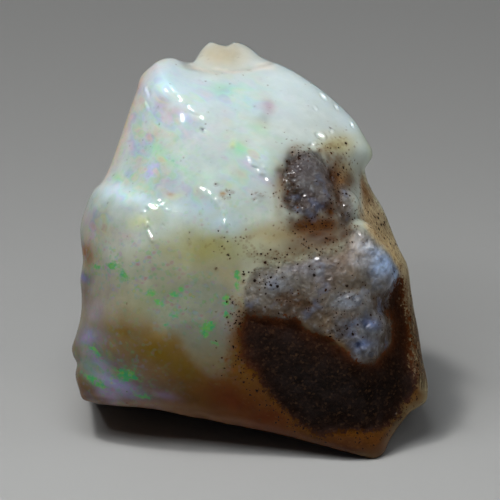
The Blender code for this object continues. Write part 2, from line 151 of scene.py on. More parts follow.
# Knobs of potch: (u, v, radius, how far each stands proud of the face).
KNOBS = [
    # in the pocket, and on the strip beside it
    (4.2, 8.0, 1.4, 0.20), (5.0, 6.9, 1.6, 0.30), (5.5, 5.7, 1.5, 0.30), (4.1, 6.0, 1.3, 0.20),
    (6.0, 4.8, 1.0, 0.20), (4.8, 4.0, 1.0, 0.30), (7.9, 4.5, 1.3, 0.15),
    # the lobe that overhangs the flank
    (9.0, 1.4, 1.9, 0.30), (9.9, 0.1, 2.0, 0.35), (10.4, -1.4, 1.6, 0.28),
    # the upper row, from left to right
    (1.3, -2.0, 1.7, 0.15), (2.6, -1.5, 1.8, 0.20), (4.3, -0.8, 1.8, 0.20),
    (6.1, -0.2, 2.0, 0.35), (7.8, -0.8, 1.7, 0.20),
    # the lower rows
    (0.8, -3.4, 1.8, 0.15), (2.4, -3.6, 1.6, 0.12), (4.2, -2.8, 2.0, 0.20),
    (5.9, -2.6, 1.7, 0.20), (3.7, -4.3, 1.2, 0.15), (5.4, -4.4, 1.6, 0.20),
    (8.4, -3.5, 1.8, 0.28), (7.1, -5.1, 1.5, 0.22), (9.8, -5.4, 1.5, 0.26),
    (8.2, -6.1, 1.6, 0.30), (9.1, -7.2, 1.4, 0.36), (8.5, -8.1, 1.0, 0.26),
]  # fmt: skip
KNOB_MELT = 0.28  # how softly the knobs run into each other and the face

# How deep the edge of the back lies behind the middle of the face: (direction in degrees, depth).
BACK_EDGE = [
    (-90, 16.0), (-60, 15.0), (-30, 12.0), (0, 9.6), (30, 8.8), (60, 9.4), (95, 10.6),
    (120, 9.6), (150, 9.8), (180, 12.0), (205, 16.0), (220, 18.5), (245, 18.0), (270, 16.0),
]  # fmt: skip
WALL_NARROWING = 0.08  # how much smaller the outline is at the back, above the base
BACK_SOFTENING = 9.0  # degrees over which the outline's corners are rounded off at the back
# The depth of the back behind the middle of the face: (u, v, depth).
BACK_DEPTHS = [
    (0, 0, 13.2), (-9, 0, 12.6), (9, 0, 11.6), (0, 9, 12.0), (0, 15, 11.2), (-7, 9, 11.4),
    (6, 9, 10.8), (0, -9, 15.2), (-10, -9, 16.0), (10, -9, 13.6), (0, -14, 16.4),
]  # fmt: skip
ROUGHNESS = 0.22  # how far the broken sides and back wander


def smooth_curve(points, closed, steps=10):
    """Points along a smooth curve through the given points."""
    p = np.array(points, float)
    before = np.roll(p, 1, axis=0)
    after = np.roll(p, -1, axis=0)
    if not closed:
        before[0] = 2 * p[0] - p[1]
        after[-1] = 2 * p[-1] - p[-2]
    gap_before = np.linalg.norm(p - before, axis=1)[:, None]
    gap_after = np.linalg.norm(after - p, axis=1)[:, None]
    slope = ((p - before) / gap_before * gap_after + (after - p) / gap_after * gap_before) / (
        gap_before + gap_after
    )
    t = (np.arange(steps) / steps)[:, None]
    curve = []
    for i in range(len(p) if closed else len(p) - 1):
        j = (i + 1) % len(p)
        gap = gap_after[i]
        curve.append(
            (2 * t**3 - 3 * t**2 + 1) * p[i]
            + (t**3 - 2 * t**2 + t) * gap * slope[i]
            + (3 * t**2 - 2 * t**3) * p[j]
            + (t**3 - t**2) * gap * slope[j]
        )
    if not closed:
        curve.append(p[-1:])
    return np.concatenate(curve)


def thin_plate(places):
    """The smooth sheet through (u, v, height) places, as a function of u and v."""
    places = np.array(places, float)
    centres = places[:, :2]

    def terms(u, v):
        squared = (u[:, None] - centres[:, 0]) ** 2 + (v[:, None] - centres[:, 1]) ** 2
        bends = squared * np.log(squared + 1e-9)
        return np.column_stack([bends, np.ones_like(u), u, v])

    system = terms(*centres.T)
    level = np.column_stack([system[:, -3:].T, np.zeros((3, 3))])
    weights = np.linalg.solve(np.vstack([system, level]), np.append(places[:, 2], [0, 0, 0]))
    return lambda u, v: terms(u, v) @ weights


def distance_to_path(u, v, path):
    """How far each point is from a path of straight steps."""
    nearest = np.full(u.shape, np.inf)
    for (au, av), (bu, bv) in zip(path, path[1:]):
        du, dv = bu - au, bv - av
        along = np.clip(((u - au) * du + (v - av) * dv) / (du * du + dv * dv), 0, 1)
        nearest = np.minimum(nearest, np.hypot(u - au - along * du, v - av - along * dv))
    return nearest


def smooth_step(x):
    """0 below 0, 1 above 1, and smooth between."""
    x = np.clip(x, 0, 1)
    return x * x * (3 - 2 * x)


def signed_distance(u, v, corners):
    """How far each point is inside a rounded patch, negative outside it."""
    edge = smooth_curve(corners, closed=True, steps=4)
    inside = np.zeros(u.shape, bool)
    for (au, av), (bu, bv) in zip(edge, np.roll(edge, -1, axis=0)):
        if av != bv:
            inside ^= ((av > v) != (bv > v)) & (u < (bu - au) * (v - av) / (bv - av) + au)
    away = distance_to_path(u, v, np.vstack([edge, edge[:1]]))
    return np.where(inside, away, -away)


def inside_patch(u, v, corners, slope):
    """1 inside a rounded patch, 0 outside it, with a soft slope of that width between."""
    return smooth_step(0.5 + signed_distance(u, v, corners) / slope)


def in_oval(u, v, oval):
    """Each point's place along and across a turned oval, whose edge is 1 from its middle."""
    middle_u, middle_v, half_length, half_width, turn = oval[:5]
    c, s = math.cos(math.radians(turn)), math.sin(math.radians(turn))
    along = ((u - middle_u) * c + (v - middle_v) * s) / half_length
    across = ((v - middle_v) * c - (u - middle_u) * s) / half_width
    return along, across


def scooped(u, v, scoops):
    """How deep the fracture scoops are at each point."""
    squared = np.zeros(u.shape)
    for scoop in scoops:
        along, across = in_oval(u, v, scoop)
        hollow = np.maximum(1 - along**2 - across**2, 0)
        squared += (scoop[5] * hollow**2) ** 2
    return np.sqrt(squared)


def wander(points, size, seed):
    """Smooth noise from -1 to 1 at each 3-D point, with features of about the given size."""
    shift = Vector((seed, 2 * seed, 3 * seed))
    return np.array([noise.noise(Vector(p) / size + shift) for p in points])


BROAD_FACE = thin_plate(RIM_HEIGHTS + FACE_HEIGHTS)
BROAD_BACK = thin_plate(BACK_DEPTHS)


def face_height(u, v):
    """How far the broken face stands out, before the knobs are set on it."""
    height = BROAD_FACE(u, v) - scooped(u, v, FACE_SCOOPS)
    for path, rise, reach, worn in CRESTS:
        away = distance_to_path(u, v, smooth_curve(path, closed=False))
        height += rise * np.exp(-np.hypot(away, worn) / reach)
    for corners, depth, slope in SUNKEN:
        height -= depth * inside_patch(u, v, corners, slope)
    return height


def outline_radius(angle):
    """The outline's distance from the middle of the face in each direction."""
    curve = smooth_curve(OUTLINE, closed=True)
    angles = np.arctan2(curve[:, 1], curve[:, 0])
    order = np.argsort(angles)
    radii = np.hypot(curve[:, 0], curve[:, 1])
    return np.interp(angle, angles[order], radii[order], period=2 * math.pi)


def back_radius(angle):
    """The softer and narrower outline of the back."""
    nudges = np.radians(BACK_SOFTENING) * np.linspace(-1, 1, 13)
    weights = np.cos(nudges * math.pi / 2 / nudges[-1]) ** 2
    soft = sum(weight * outline_radius(angle + nudge) for weight, nudge in zip(weights, nudges))
    return soft / weights.sum() * (1 - WALL_NARROWING * (1 + np.sin(angle)) / 2)


def back_edge(angle):
    directions, depths = np.array(BACK_EDGE).T
    return np.interp(np.degrees(angle), directions, depths, period=360)


def share_through(y):
    """0 on the front of the blank, 1 on its back."""
    return np.round((y + 1) / 2, 6)


def shaped(blank):
    """Where each point of the square blank goes on the stone, as (u, depth, v)."""
    x, y, z = blank.T
    a = x * np.sqrt(1 - z * z / 2)
    b = z * np.sqrt(1 - x * x / 2)
    angle = np.arctan2(b, a)
    share = np.hypot(a, b)  # 0 in the middle of either face, 1 at its rim
    through = share_through(y)
    rim = outline_radius(angle)
    radius = rim + (back_radius(angle) - rim) * through

    reach = share * (1.25 - 0.25 * share)
    u, v = reach * radius * np.cos(angle), reach * radius * np.sin(angle)
    rim_u, rim_v = rim * np.cos(angle), rim * np.sin(angle)

    inset = np.clip(EDGE_ROUND - (1 - reach) * radius, 0, EDGE_ROUND)
    front = EDGE_ROUND - np.sqrt(EDGE_ROUND**2 - inset**2) - face_height(u, v)
    front_rim = EDGE_ROUND - face_height(rim_u, rim_v)
    back_rim = back_edge(angle)
    back = BROAD_BACK(u, v) - scooped(u, v, BACK_SCOOPS)
    back = back_rim + (back - back_rim) * (1 - share**4)
    side = front_rim + (back_rim - front_rim) * through

    depth = np.select([through == 0, through == 1], [front, back], side)
    return np.column_stack([u, depth, v])


def roughened(points, through):
    """The sides and back with the wander of a broken surface, which fades out at the front rim."""
    amount = ROUGHNESS * np.clip(through * 3, 0, 1)
    radial = wander(points, 3.2, 1.7) + 0.5 * wander(points, 1.4, 5.1)
    deep = wander(points, 3.6, 9.3) + 0.5 * wander(points, 1.5, 4.4)
    away = points[:, [0, 2]] / (np.linalg.norm(points[:, [0, 2]], axis=1)[:, None] + 1e-6)
    moved = points.copy()
    moved[:, [0, 2]] += (amount * (radial - 0.5))[:, None] * away
    moved[:, 1] += amount * deep
    return moved


def with_knobs(points, on_face):
    """The points with those inside a knob's ball pushed out to its surface."""
    moved = points.copy()
    for u, v, radius, proud in KNOBS:
        height = face_height(np.array([u]), np.array([v]))[0] + proud - radius
        centre = np.array([u, -height, v])
        out = moved - centre
        distance = np.linalg.norm(out, axis=1) + 1e-6
        pushed = KNOB_MELT * np.logaddexp(distance / KNOB_MELT, radius / KNOB_MELT)
        near = on_face & (distance < radius + 5 * KNOB_MELT)
        moved[near] = centre + out[near] * (pushed / distance)[near, None]
    return moved


def square_blank(face_segments, side_segments):
    """A cube's front and back faces cut into squares and its sides into rows, as a bmesh."""
    bm = bmesh.new()
    bmesh.ops.create_grid(bm, x_segments=face_segments, y_segments=face_segments, size=1)
    bmesh.ops.rotate(bm, verts=bm.verts, matrix=Matrix.Rotation(math.pi / 2, 3, "X"))
    bmesh.ops.translate(bm, verts=bm.verts, vec=(0, -1, 0))
    front = set(bm.verts)
    extruded = bmesh.ops.extrude_face_region(bm, geom=list(bm.faces), use_keep_orig=True)
    back = [v for v in extruded["geom"] if isinstance(v, bmesh.types.BMVert)]
    bmesh.ops.translate(bm, verts=back, vec=(0, 2, 0))
    through = [e for e in bm.edges if (e.verts[0] in front) != (e.verts[1] in front)]
    bmesh.ops.subdivide_edges(bm, edges=through, cuts=side_segments - 1, use_grid_fill=True)
    bmesh.ops.recalc_face_normals(bm, faces=bm.faces)
    return bm


def leaned():
    """The move from the face-on frame, in millimetres, to the resting stone, in metres."""
    middle_x, middle_y = FOOTPRINT_MIDDLE
    settle = Matrix.Translation((-middle_x, -middle_y, -BASE_LEVEL))
    return Matrix.Scale(MM, 4) @ settle @ Matrix.Rotation(math.radians(-LEAN), 4, "X")


# ---------------------------------------------------------------- fine relief of the broken surface

HACKLE_TURN = -35.0  # the direction of the hackle lines across the middle scoop
HACKLE_GAP = 0.36  # from one line to the next
HACKLE_RISE = 0.085
# Where they show: (u, v, half length, half width, turn, strength)
HACKLE_WINDOWS = [
    (0.6, 7.2, 2.6, 1.5, -35, 1.0), (-5.6, 7.2, 1.8, 0.5, -35, 0.7), (-8.0, 8.6, 1.2, 0.8, -35, 0.4),
]  # fmt: skip
PITS = [
    # (u, v, radius, depth)
    (-3.9, 10.8, 0.16, 0.20), (-7.3, 2.9, 0.14, 0.08), (-2.6, 5.6, 0.20, 0.10), (1.9, 12.8, 0.50, 0.06),
]  # fmt: skip
GLINT = (0.206, -0.514)  # slope of the face, across and up, at which broken chips catch the lamp
# Small flat chips broken at that slope: (u, v, half length, half width, turn)
CHIPS = [
    # on the left facet and the shoulder
    (-8.65, 14.2, 0.26, 0.12, -60), (-8.65, 13.0, 0.24, 0.12, -60), (-8.2, 4.5, 0.34, 0.17, -20),
    (-8.8, 4.1, 0.20, 0.11, 30), (-7.6, 5.0, 0.20, 0.11, 0),
    (-6.9, 4.3, 0.18, 0.10, -30), (-8.6, 3.1, 0.26, 0.10, 80), (-8.35, 2.2, 0.42, 0.14, -70),
    # along the crest above the left facet
    (-6.55, 14.35, 0.50, 0.12, -50), (-5.75, 13.45, 0.50, 0.12, -46), (-5.0, 12.75, 0.45, 0.11, -42),
    # the curled edge in the middle
    (-3.8, 5.85, 0.40, 0.15, -28), (-3.2, 5.45, 0.36, 0.15, -36), (-2.7, 5.02, 0.36, 0.15, -46),
    (-2.35, 4.5, 0.34, 0.15, -62), (-2.2, 3.9, 0.34, 0.14, -80), (-2.14, 3.3, 0.34, 0.14, -90),
    # along the upper right rim and above the pocket
    (6.2, 13.8, 0.26, 0.12, -45), (7.3, 12.9, 0.15, 0.09, -45), (8.6, 11.4, 0.18, 0.09, -60),
    (5.95, 10.45, 0.30, 0.17, -20), (5.3, 9.7, 0.22, 0.11, 20), (6.9, 10.8, 0.13, 0.09, 0),
    (5.5, 12.8, 0.13, 0.09, -40),
    # in the middle scoop
    (0.0, 3.2, 0.26, 0.10, 0), (0.0, 8.2, 0.40, 0.11, -38), (0.7, 7.5, 0.38, 0.11, -36),
    (1.35, 6.8, 0.34, 0.11, -33), (1.1, 7.9, 0.22, 0.10, -38),
    (0.5, 5.0, 0.26, 0.10, 10), (1.1, 5.45, 0.20, 0.09, 20),
    # over the potch
    (5.6, 0.1, 0.26, 0.18, 15), (3.7, -0.9, 0.24, 0.15, 0), (2.3, -0.4, 0.18, 0.13, 0),
    (1.0, -1.7, 0.20, 0.14, 0),
    (9.25, 2.1, 0.30, 0.17, -40), (9.95, 1.3, 0.30, 0.16, -55), (10.6, 0.2, 0.22, 0.14, -40),
    (8.15, -3.05, 0.30, 0.18, 10), (8.95, -3.2, 0.24, 0.15, 0), (7.5, -3.3, 0.20, 0.13, 0),
    (10.05, -5.5, 0.30, 0.20, 10), (9.35, -7.3, 0.34, 0.17, -35), (10.2, -8.0, 0.22, 0.15, -40),
    (8.9, -6.5, 0.20, 0.14, 0), (4.2, 7.6, 0.18, 0.12, 0), (4.6, 5.4, 0.18, 0.12, 0),
    (6.6, -1.6, 0.20, 0.13, 0),
    (4.9, 8.6, 0.18, 0.12, 20), (5.4, 4.6, 0.18, 0.12, 0), (7.9, 4.6, 0.18, 0.12, 0),
    (7.2, -0.1, 0.20, 0.13, 10),
]  # fmt: skip


def relief(face, on_face, rock, potch):
    """How far the fine relief moves each point of the surface outwards, in millimetres."""
    u, v = face[:, 0], face[:, 2]
    swell = 0.045 * wander(face, 2.6, 3.1) + 0.010 * wander(face, 0.8, 7.7)
    lumps = 0.10 * wander(face, 1.3, 2.2) + 0.06 * wander(face, 0.6, 8.8)
    grain = 0.10 * wander(face, 0.7, 6.1) + 0.06 * wander(face, 0.32, 1.3)
    out = swell + potch * lumps + rock * grain

    c, s = math.cos(math.radians(HACKLE_TURN)), math.sin(math.radians(HACKLE_TURN))
    across = v * c - u * s + 0.10 * wander(face, 1.5, 6.6)
    saw = (across / HACKLE_GAP) % 1.0
    hackle = HACKLE_RISE * blob(u, v, HACKLE_WINDOWS) * (0.5 + wander(face, 0.9, 2.9))
    out += on_face * hackle * np.where(saw < 0.8, saw / 0.8, (1 - saw) / 0.2)
    for pit_u, pit_v, radius, depth in PITS:
        inside = np.clip(1 - ((u - pit_u) ** 2 + (v - pit_v) ** 2) / radius**2, 0, 1)
        out -= on_face * depth * inside
    return out


def from_chip(u, v, chip):
    """How far each point is from the middle of a chip: 1 on its edge."""
    return np.hypot(*in_oval(u, v, chip))


def chipped(points, on_face):
    """The points of the face with each small chip pressed flat, tilted towards the light."""
    moved = points.copy()
    for chip in CHIPS:
        away = from_chip(moved[:, 0], moved[:, 2], chip)
        weight = on_face * np.exp(-(away**2))
        tilted = GLINT[0] * (moved[:, 0] - chip[0]) + GLINT[1] * (moved[:, 2] - chip[1])
        flat = (weight * moved[:, 1]).sum() / weight.sum() - tilted
        share = on_face * smooth_step((2.1 - away) / 0.9)
        moved[:, 1] += (flat - moved[:, 1]) * share
    return moved


# ---------------------------------------------------------------- what each point is made of

POTCH = [
    (-0.3, -3.4), (-0.3, -2.1), (0.2, -1.3), (1.0, -0.7), (2.1, -0.5), (2.9, -0.3), (4.2, -0.2),
    (5.0, 0.3), (6.3, 0.7), (7.6, 0.8), (8.4, 1.7), (8.7, 2.5), (9.4, 2.5), (10.5, 1.6),
    (11.3, 0.4), (12.2, -0.3), (12.6, -1.3), (12.3, -2.4), (11.8, -3.4), (11.6, -4.4),
    (11.9, -5.5), (11.6, -7.1), (10.9, -8.1), (9.9, -8.9), (8.6, -8.2), (7.7, -7.1),
    (6.7, -6.3), (5.7, -6.0), (4.6, -5.2), (3.5, -4.9), (2.1, -5.0), (0.7, -4.7), (-0.3, -4.6),
]  # fmt: skip
POCKET_POTCH = [
    (2.9, 6.5), (2.9, 7.6), (3.4, 8.6), (4.2, 9.0), (5.2, 8.8), (6.0, 8.2), (6.7, 7.4),
    (6.9, 5.9), (6.7, 4.6), (6.0, 3.9), (5.4, 3.2), (4.2, 3.7), (3.2, 4.6), (2.9, 5.5),
]  # fmt: skip
# The host rock over the hidden back: (u, v, half length, half width, turn, strength)
BACK_ROCK = [(8.5, -4.0, 4.5, 7.0, 10, 1.3), (3.5, -9.5, 5.5, 4.0, -20, 1.2), (9.5, 2.5, 3.0, 4.5, 15, 1.1)]
FLANK = [
    (9.8, 7.6), (9.3, 5.6), (9.2, 3.8), (10.2, 2.0), (11.4, 0.4), (12.5, -0.7), (12.5, -2.8),
    (13.2, -7.0), (14.4, -11.0), (16.5, -11.0), (15.5, -3.0), (13.5, 3.0), (10.8, 7.4),
]  # fmt: skip
STRIP_POTCH = [(7.3, 6.0), (8.1, 6.1), (8.6, 4.9), (8.5, 3.4), (7.7, 2.8), (7.2, 3.6), (7.1, 4.9)]


def blob(u, v, spots):
    """The strongest of some soft oval spots: (u, v, half length, half width, turn, strength)."""
    share = np.zeros(u.shape)
    for spot in spots:
        along, across = in_oval(u, v, spot)
        share = np.maximum(share, spot[5] * np.exp(-(along**2 + across**2)))
    return share


def linear(hex_colour):
    """A screen colour such as "c8d8d0" as linear red, green and blue."""
    channels = np.array([int(hex_colour[i : i + 2], 16) for i in (0, 2, 4)]) / 255
    return np.where(channels <= 0.04045, channels / 12.92, ((channels + 0.055) / 1.055) ** 2.4)


def laid_over(colours, *layers):
    """The colours with each layer laid over them in turn: (colour, how strongly at each point)."""
    for layer, share in layers:
        share = np.clip(share, 0, 1)[:, None]
        colours = colours * (1 - share) + (linear(layer) if isinstance(layer, str) else layer) * share
    return colours


# The opal clears from milk at the top to amber at the base, and is darker towards the base partly as painted
# shade of the lower face: (height on the face, colour).
BODY_AND_SHADE_BY_HEIGHT = [
    (-15.0, "45210a"), (-12.0, "5a3610"), (-9.5, "6c4e24"), (-7.0, "7b6235"), (-4.5, "887a5e"),
    (-2.0, "98957f"), (0.5, "a3a58c"), (2.5, "b2b8a4"), (4.5, "b4c0b8"), (8.0, "bcc9c2"),
    (11.0, "c7d0cb"), (15.0, "d6e4e5"),
]  # fmt: skip
# The worn rim at the right: (height on the face, colour)
RIM_BY_HEIGHT = [
    (-15.0, "6a5436"), (-11.5, "8c8058"), (-9.4, "2e2216"), (-5.0, "2e2216"), (0.0, "b4ae8c"),
    (5.0, "c4cdb0"),
]  # fmt: skip
# Paler lumps of the potch in the pocket, in the same form as the rust stains.
POCKET_LUMPS = [(4.4, 7.8, 1.1, 0.9, 0, 0.8), (5.0, 5.2, 0.9, 1.0, 0, 0.5)]
# Specks and pastel fire on the sides and back, as strong all over.
SPECKS_BEHIND, PASTEL_BEHIND = 0.04, 0.4

# Soft tints on the face, from the first laid down to the last:
# (colour, [(u, v, half length, half width, turn, strength), ...])
OPAL_TINTS = [
    ("d8eef8", [  # pale blue over the crests, shoulder and upper right rim, a painted sheen where they catch the light from above
        (-6.6, 15.0, 2.3, 1.3, -50, 0.9), (-8.5, 13.4, 1.2, 1.8, -20, 0.6),
        (-11.0, 5.7, 2.9, 1.0, -22, 0.9),
        (-5.9, 4.2, 2.6, 1.2, 0, 0.35), (9.0, 10.9, 1.0, 1.8, 35, 0.7),
    ]),
    ("c0b498", [  # cream, thin at the top
        (-2.4, 17.3, 3.4, 1.7, 0, 0.95), (-3.4, 16.1, 1.5, 0.5, 10, 0.5),
    ]),
    ("f4ecdf", [  # painted light along the groove under the ledge, lifting its shade
        (-4.2, 16.05, 1.3, 0.22, -12, 0.8), (-1.6, 15.88, 1.5, 0.22, 0, 0.8),
        (0.9, 16.25, 1.2, 0.22, 18, 0.8),
    ]),
    ("dcb9a0", [  # peach along the left rim, a painted glow of light shining through its thin edge
        (-11.1, 11.3, 0.6, 3.8, -18, 0.9), (-12.2, 8.0, 0.5, 1.4, -20, 0.7),
        (-9.6, 14.7, 0.5, 1.4, -20, 0.5),
    ]),
    ("bdb687", [  # creamy yellow
        (7.4, 9.7, 2.0, 1.1, 20, 0.9), (1.0, 11.6, 0.8, 0.6, 0, 0.4), (7.9, 7.6, 0.9, 1.2, 0, 0.6),
    ]),
    ("9f936e", [(2.1, 2.1, 3.4, 0.8, 0, 0.9), (5.2, 1.2, 1.4, 0.5, 0, 0.5)]),
    ("cad8da", [(0.4, 8.4, 1.6, 1.8, 0, 0.6), (-1.2, 6.4, 1.4, 1.0, 0, 0.5)]),
    ("b8ced8", [(-2.3, 2.9, 1.6, 1.0, 0, 0.9), (-4.0, 4.7, 1.2, 0.8, -20, 0.8)]),
    ("988a6e", [(2.2, 5.8, 0.65, 2.4, 0, 0.8)]),  # stained beside the pocket
    ("86602c", [  # a wide stain around the pocket, deepest at its right and below it
        (7.5, 6.5, 1.2, 1.9, -5, 0.9), (5.6, 2.6, 2.2, 1.1, 0, 0.9), (6.2, 9.1, 1.4, 0.6, 35, 0.4),
        (2.6, 6.4, 0.5, 2.0, -5, 0.6), (3.6, 9.2, 0.9, 0.5, 20, 0.5),
    ]),
    ("6e5c42", [(4.0, 0.9, 1.7, 0.7, 5, 0.8), (2.1, 0.8, 1.3, 0.6, 0, 0.6)]),
    ("7d6c60", [
        (6.0, 1.7, 2.0, 0.9, 10, 0.85), (8.0, 2.2, 0.9, 0.9, 0, 0.85), (7.9, 4.2, 0.6, 1.7, 0, 0.85),
    ]),
    ("a8aca2", [(1.7, 5.0, 1.5, 1.0, 0, 0.6)]),
    ("aeb4b6", [(-11.8, 2.8, 1.6, 1.6, 0, 0.6)]),
    ("c79aa4", [(1.5, 12.9, 0.6, 0.55, 0, 0.7)]),  # rose smudge
    ("160202", [(-3.86, 10.9, 0.12, 0.12, 0, 1.5)]),  # one dark pit
    ("a9b4b8", [(1.3, 12.0, 0.6, 0.5, 0, 0.6)]),
    ("a9ab9e", [(-12.2, 1.2, 2.2, 2.8, 0, 0.8), (-9.6, -0.6, 2.2, 1.6, 0, 0.5)]),  # pale grey at the left
    ("b3bfb8", [(-8.6, 2.6, 2.2, 1.4, 0, 0.7), (-10.6, 3.4, 2.0, 1.0, 0, 0.5)]),
    ("979150", [(-3.6, 1.0, 3.0, 1.5, 5, 0.80), (-6.8, 1.0, 1.6, 0.8, 0, 0.45)]),  # olive glow
    ("8e8462", [(-1.4, -1.1, 1.8, 0.9, -10, 0.8), (-13.2, -0.6, 1.4, 1.6, 0, 0.4)]),
    ("93877c", [(-12.9, -3.4, 1.6, 2.2, 0, 0.8), (-13.2, 2.6, 1.4, 1.6, 0, 0.4)]),  # rosy beige
    ("869070", [(-8.0, -3.2, 2.6, 1.6, 0, 0.6), (-9.8, -1.4, 2.4, 1.0, 0, 0.3)]),  # green-grey
    ("7b6e66", [(-11.0, -9.6, 3.2, 1.8, -20, 0.7), (-8.6, -10.6, 2.4, 1.2, -15, 0.7)]),  # rosy grey
    ("6e560e", [  # amber band, darkened in part as painted shade of the lower face
        (-10.4, -6.2, 2.2, 0.8, -14, 0.8), (-7.8, -7.7, 2.4, 0.9, -28, 1.0),
        (-5.6, -9.1, 2.0, 1.0, -38, 0.9),
    ]),
    ("5e3e06", [(-4.0, -11.6, 3.4, 1.2, -14, 1.0), (-5.6, -10.4, 1.6, 0.9, -30, 0.6)]),  # brown amber, deepened in part as painted shade of the lower face
    ("562000", [(-1.0, -11.6, 3.0, 1.8, -14, 1.0), (1.4, -13.2, 2.6, 1.3, -12, 1.0)]),  # rust at the base, deepened in part as painted shade of the lower face
    ("6a4609", [(-1.2, -7.1, 0.7, 2.8, 8, 0.95), (-0.3, -9.6, 1.1, 1.6, 28, 0.9)]),  # against the rock
    ("6c8f7a", [(-12.6, -9.6, 2.2, 0.8, -35, 0.8), (-13.6, -7.4, 0.7, 1.4, 20, 0.5)]),  # green haze
    ("8c80b0", [  # violet fire, lower left
        (-13.6, -6.5, 0.9, 0.8, 0, 0.8), (-11.2, -10.4, 2.4, 0.6, -25, 0.9),
        (-12.6, -8.7, 1.7, 0.5, -40, 0.6),
        (-7.4, -11.4, 1.3, 0.4, -12, 0.4), (-12.9, -4.6, 0.7, 1.0, 0, 0.3),
    ]),
    ("8a6a50", [  # along the base edge
        (-10.1, -11.9, 5.0, 0.35, -6, 0.7), (-4.2, -13.0, 5.0, 0.3, -10, 0.3),
    ]),
    ("84561f", [(-13.9, 0.5, 0.9, 1.1, 0, 1.0)]),  # amber stain on the left rim
    ("565060", [(-13.9, -1.5, 0.7, 0.6, 0, 0.9)]),
    ("5e70b4", [(-14.1, -1.6, 0.4, 0.35, 0, 0.9)]),  # blue fire on the left rim
    ("6e5c50", [(-14.0, -2.8, 0.6, 1.4, 0, 0.9)]),
    ("8a8e8a", [(-1.9, -5.0, 0.8, 1.4, 0, 0.8)]),  # grey beside the rock
    ("aeae98", [(0.0, -1.0, 1.1, 0.9, 0, 0.9)]),
    ("9c92c0", [(-11.9, -11.2, 1.0, 0.6, -20, 0.55)]),
    ("d0a0ac", [  # rose fire
        (-7.4, 13.2, 0.9, 0.7, 0, 0.55), (-13.2, 2.0, 0.7, 0.8, 0, 0.45), (-6.4, 12.4, 0.8, 0.5, 0, 0.4),
        (-7.3, 6.6, 0.7, 0.45, 0, 0.4), (-13.8, 3.6, 0.6, 0.8, 0, 0.3), (-10.4, 2.0, 0.7, 0.4, 0, 0.3),
    ]),
    ("b8a8e8", [  # violet fire
        (-8.4, 7.6, 0.9, 0.7, 0, 0.75), (-9.1, 14.3, 0.8, 0.7, 0, 0.35), (-9.3, 9.6, 0.7, 1.0, 0, 0.45),
        (-5.4, 11.6, 1.2, 0.4, -20, 0.5), (-9.3, 12.2, 0.6, 0.6, 0, 0.3),
    ]),
    ("96d8a2", [  # green fire
        (-8.2, 9.2, 1.3, 0.55, -10, 0.6), (-4.2, 7.0, 1.6, 0.5, -10, 0.3), (-0.9, 9.3, 0.7, 0.7, 0, 0.7),
        (-2.3, 14.4, 1.1, 0.5, 10, 0.55), (-11.2, 6.9, 0.35, 0.35, 0, 0.8), (-5.9, 7.6, 1.5, 0.3, -35, 0.4),
        (0.6, 11.0, 1.3, 0.4, -20, 0.3), (-6.4, 8.6, 0.6, 0.3, 20, 0.4),
    ]),
    ("7a4410", [
        (-1.9, -8.4, 0.22, 0.3, 0, 0.8), (-1.3, -9.2, 0.3, 0.2, 20, 0.8),
        (-1.0, -7.4, 0.16, 0.3, 0, 0.7),
    ]),
    ("a87834", [(-2.35, 5.55, 0.26, 0.2, 0, 0.9), (-6.7, 5.4, 0.26, 0.16, 0, 0.7)]),  # golden grains
    ("d5d88c", [
        (-9.4, 3.2, 1.0, 0.6, 0, 0.5), (-6.6, 5.2, 0.9, 0.3, 15, 0.4), (-1.4, 9.8, 0.3, 0.3, 0, 0.6),
    ]),
    ("a8dbe8", [  # blue fire
        (-0.8, 13.4, 2.5, 1.2, -10, 0.3), (-10.9, 8.0, 0.9, 1.2, 0, 0.35), (-7.6, 15.5, 1.3, 0.7, -40, 0.3),
    ]),
]  # fmt: skip
# The cloudy patch above the amber band.
CLOUD = [
    (-8.6, -2.9), (-6.6, -1.9), (-4.2, -1.4), (-1.9, -1.8), (-0.9, -3.6), (-0.9, -6.0), (-1.3, -8.2),
    (-2.0, -9.4), (-3.2, -9.6), (-4.4, -8.9), (-5.4, -7.7), (-6.6, -6.5), (-7.8, -5.8), (-8.7, -4.6),
]  # fmt: skip
# Rust stains: (u, v, half length, half width, turn, strength)
RUST_SPOTS = [
    # around the pocket, deepest at its right and below it
    (7.1, 7.2, 0.6, 1.6, -10, 0.9), (7.2, 5.2, 0.5, 1.2, 10, 0.8), (8.2, 6.6, 0.8, 0.9, 0, 0.7),
    (4.4, 2.8, 1.5, 0.8, -15, 1.0), (6.4, 3.0, 1.5, 1.0, 0, 1.0),
    (6.7, 7.2, 0.7, 1.7, -10, 0.9), (3.1, 4.4, 0.4, 0.9, 20, 0.7), (5.6, 3.6, 0.9, 0.5, 0, 0.7),
    (6.6, 4.0, 0.8, 1.2, 10, 1.0), (5.2, 2.8, 1.9, 0.8, -8, 1.0), (3.4, 3.3, 0.7, 0.6, -40, 0.8),
    (5.6, 2.1, 1.6, 0.7, 10, 0.8), (2.7, 6.6, 0.3, 1.0, 0, 0.6), (2.5, 7.6, 0.5, 0.3, 0, 0.6),
    (3.8, 9.2, 0.9, 0.35, 30, 0.35), (6.6, 8.4, 0.5, 0.7, 20, 0.75), (5.3, 6.9, 0.25, 0.2, 0, 0.5),
    (6.6, 1.6, 1.5, 0.5, 20, 0.7), (8.0, 2.2, 0.7, 0.8, -40, 0.6), (3.2, 4.2, 0.3, 0.8, 10, 0.5),
    # along the top of the potch
    (2.2, 0.1, 1.2, 0.3, -10, 0.4), (4.2, 0.4, 1.2, 0.25, 20, 0.4), (1.2, -0.3, 0.8, 0.25, -20, 0.3),
    # beside the middle scoop, and down the flank
    (0.9, 5.4, 0.3, 0.2, 0, 0.3), (11.0, 2.8, 1.0, 1.8, -30, 0.4),
]  # fmt: skip
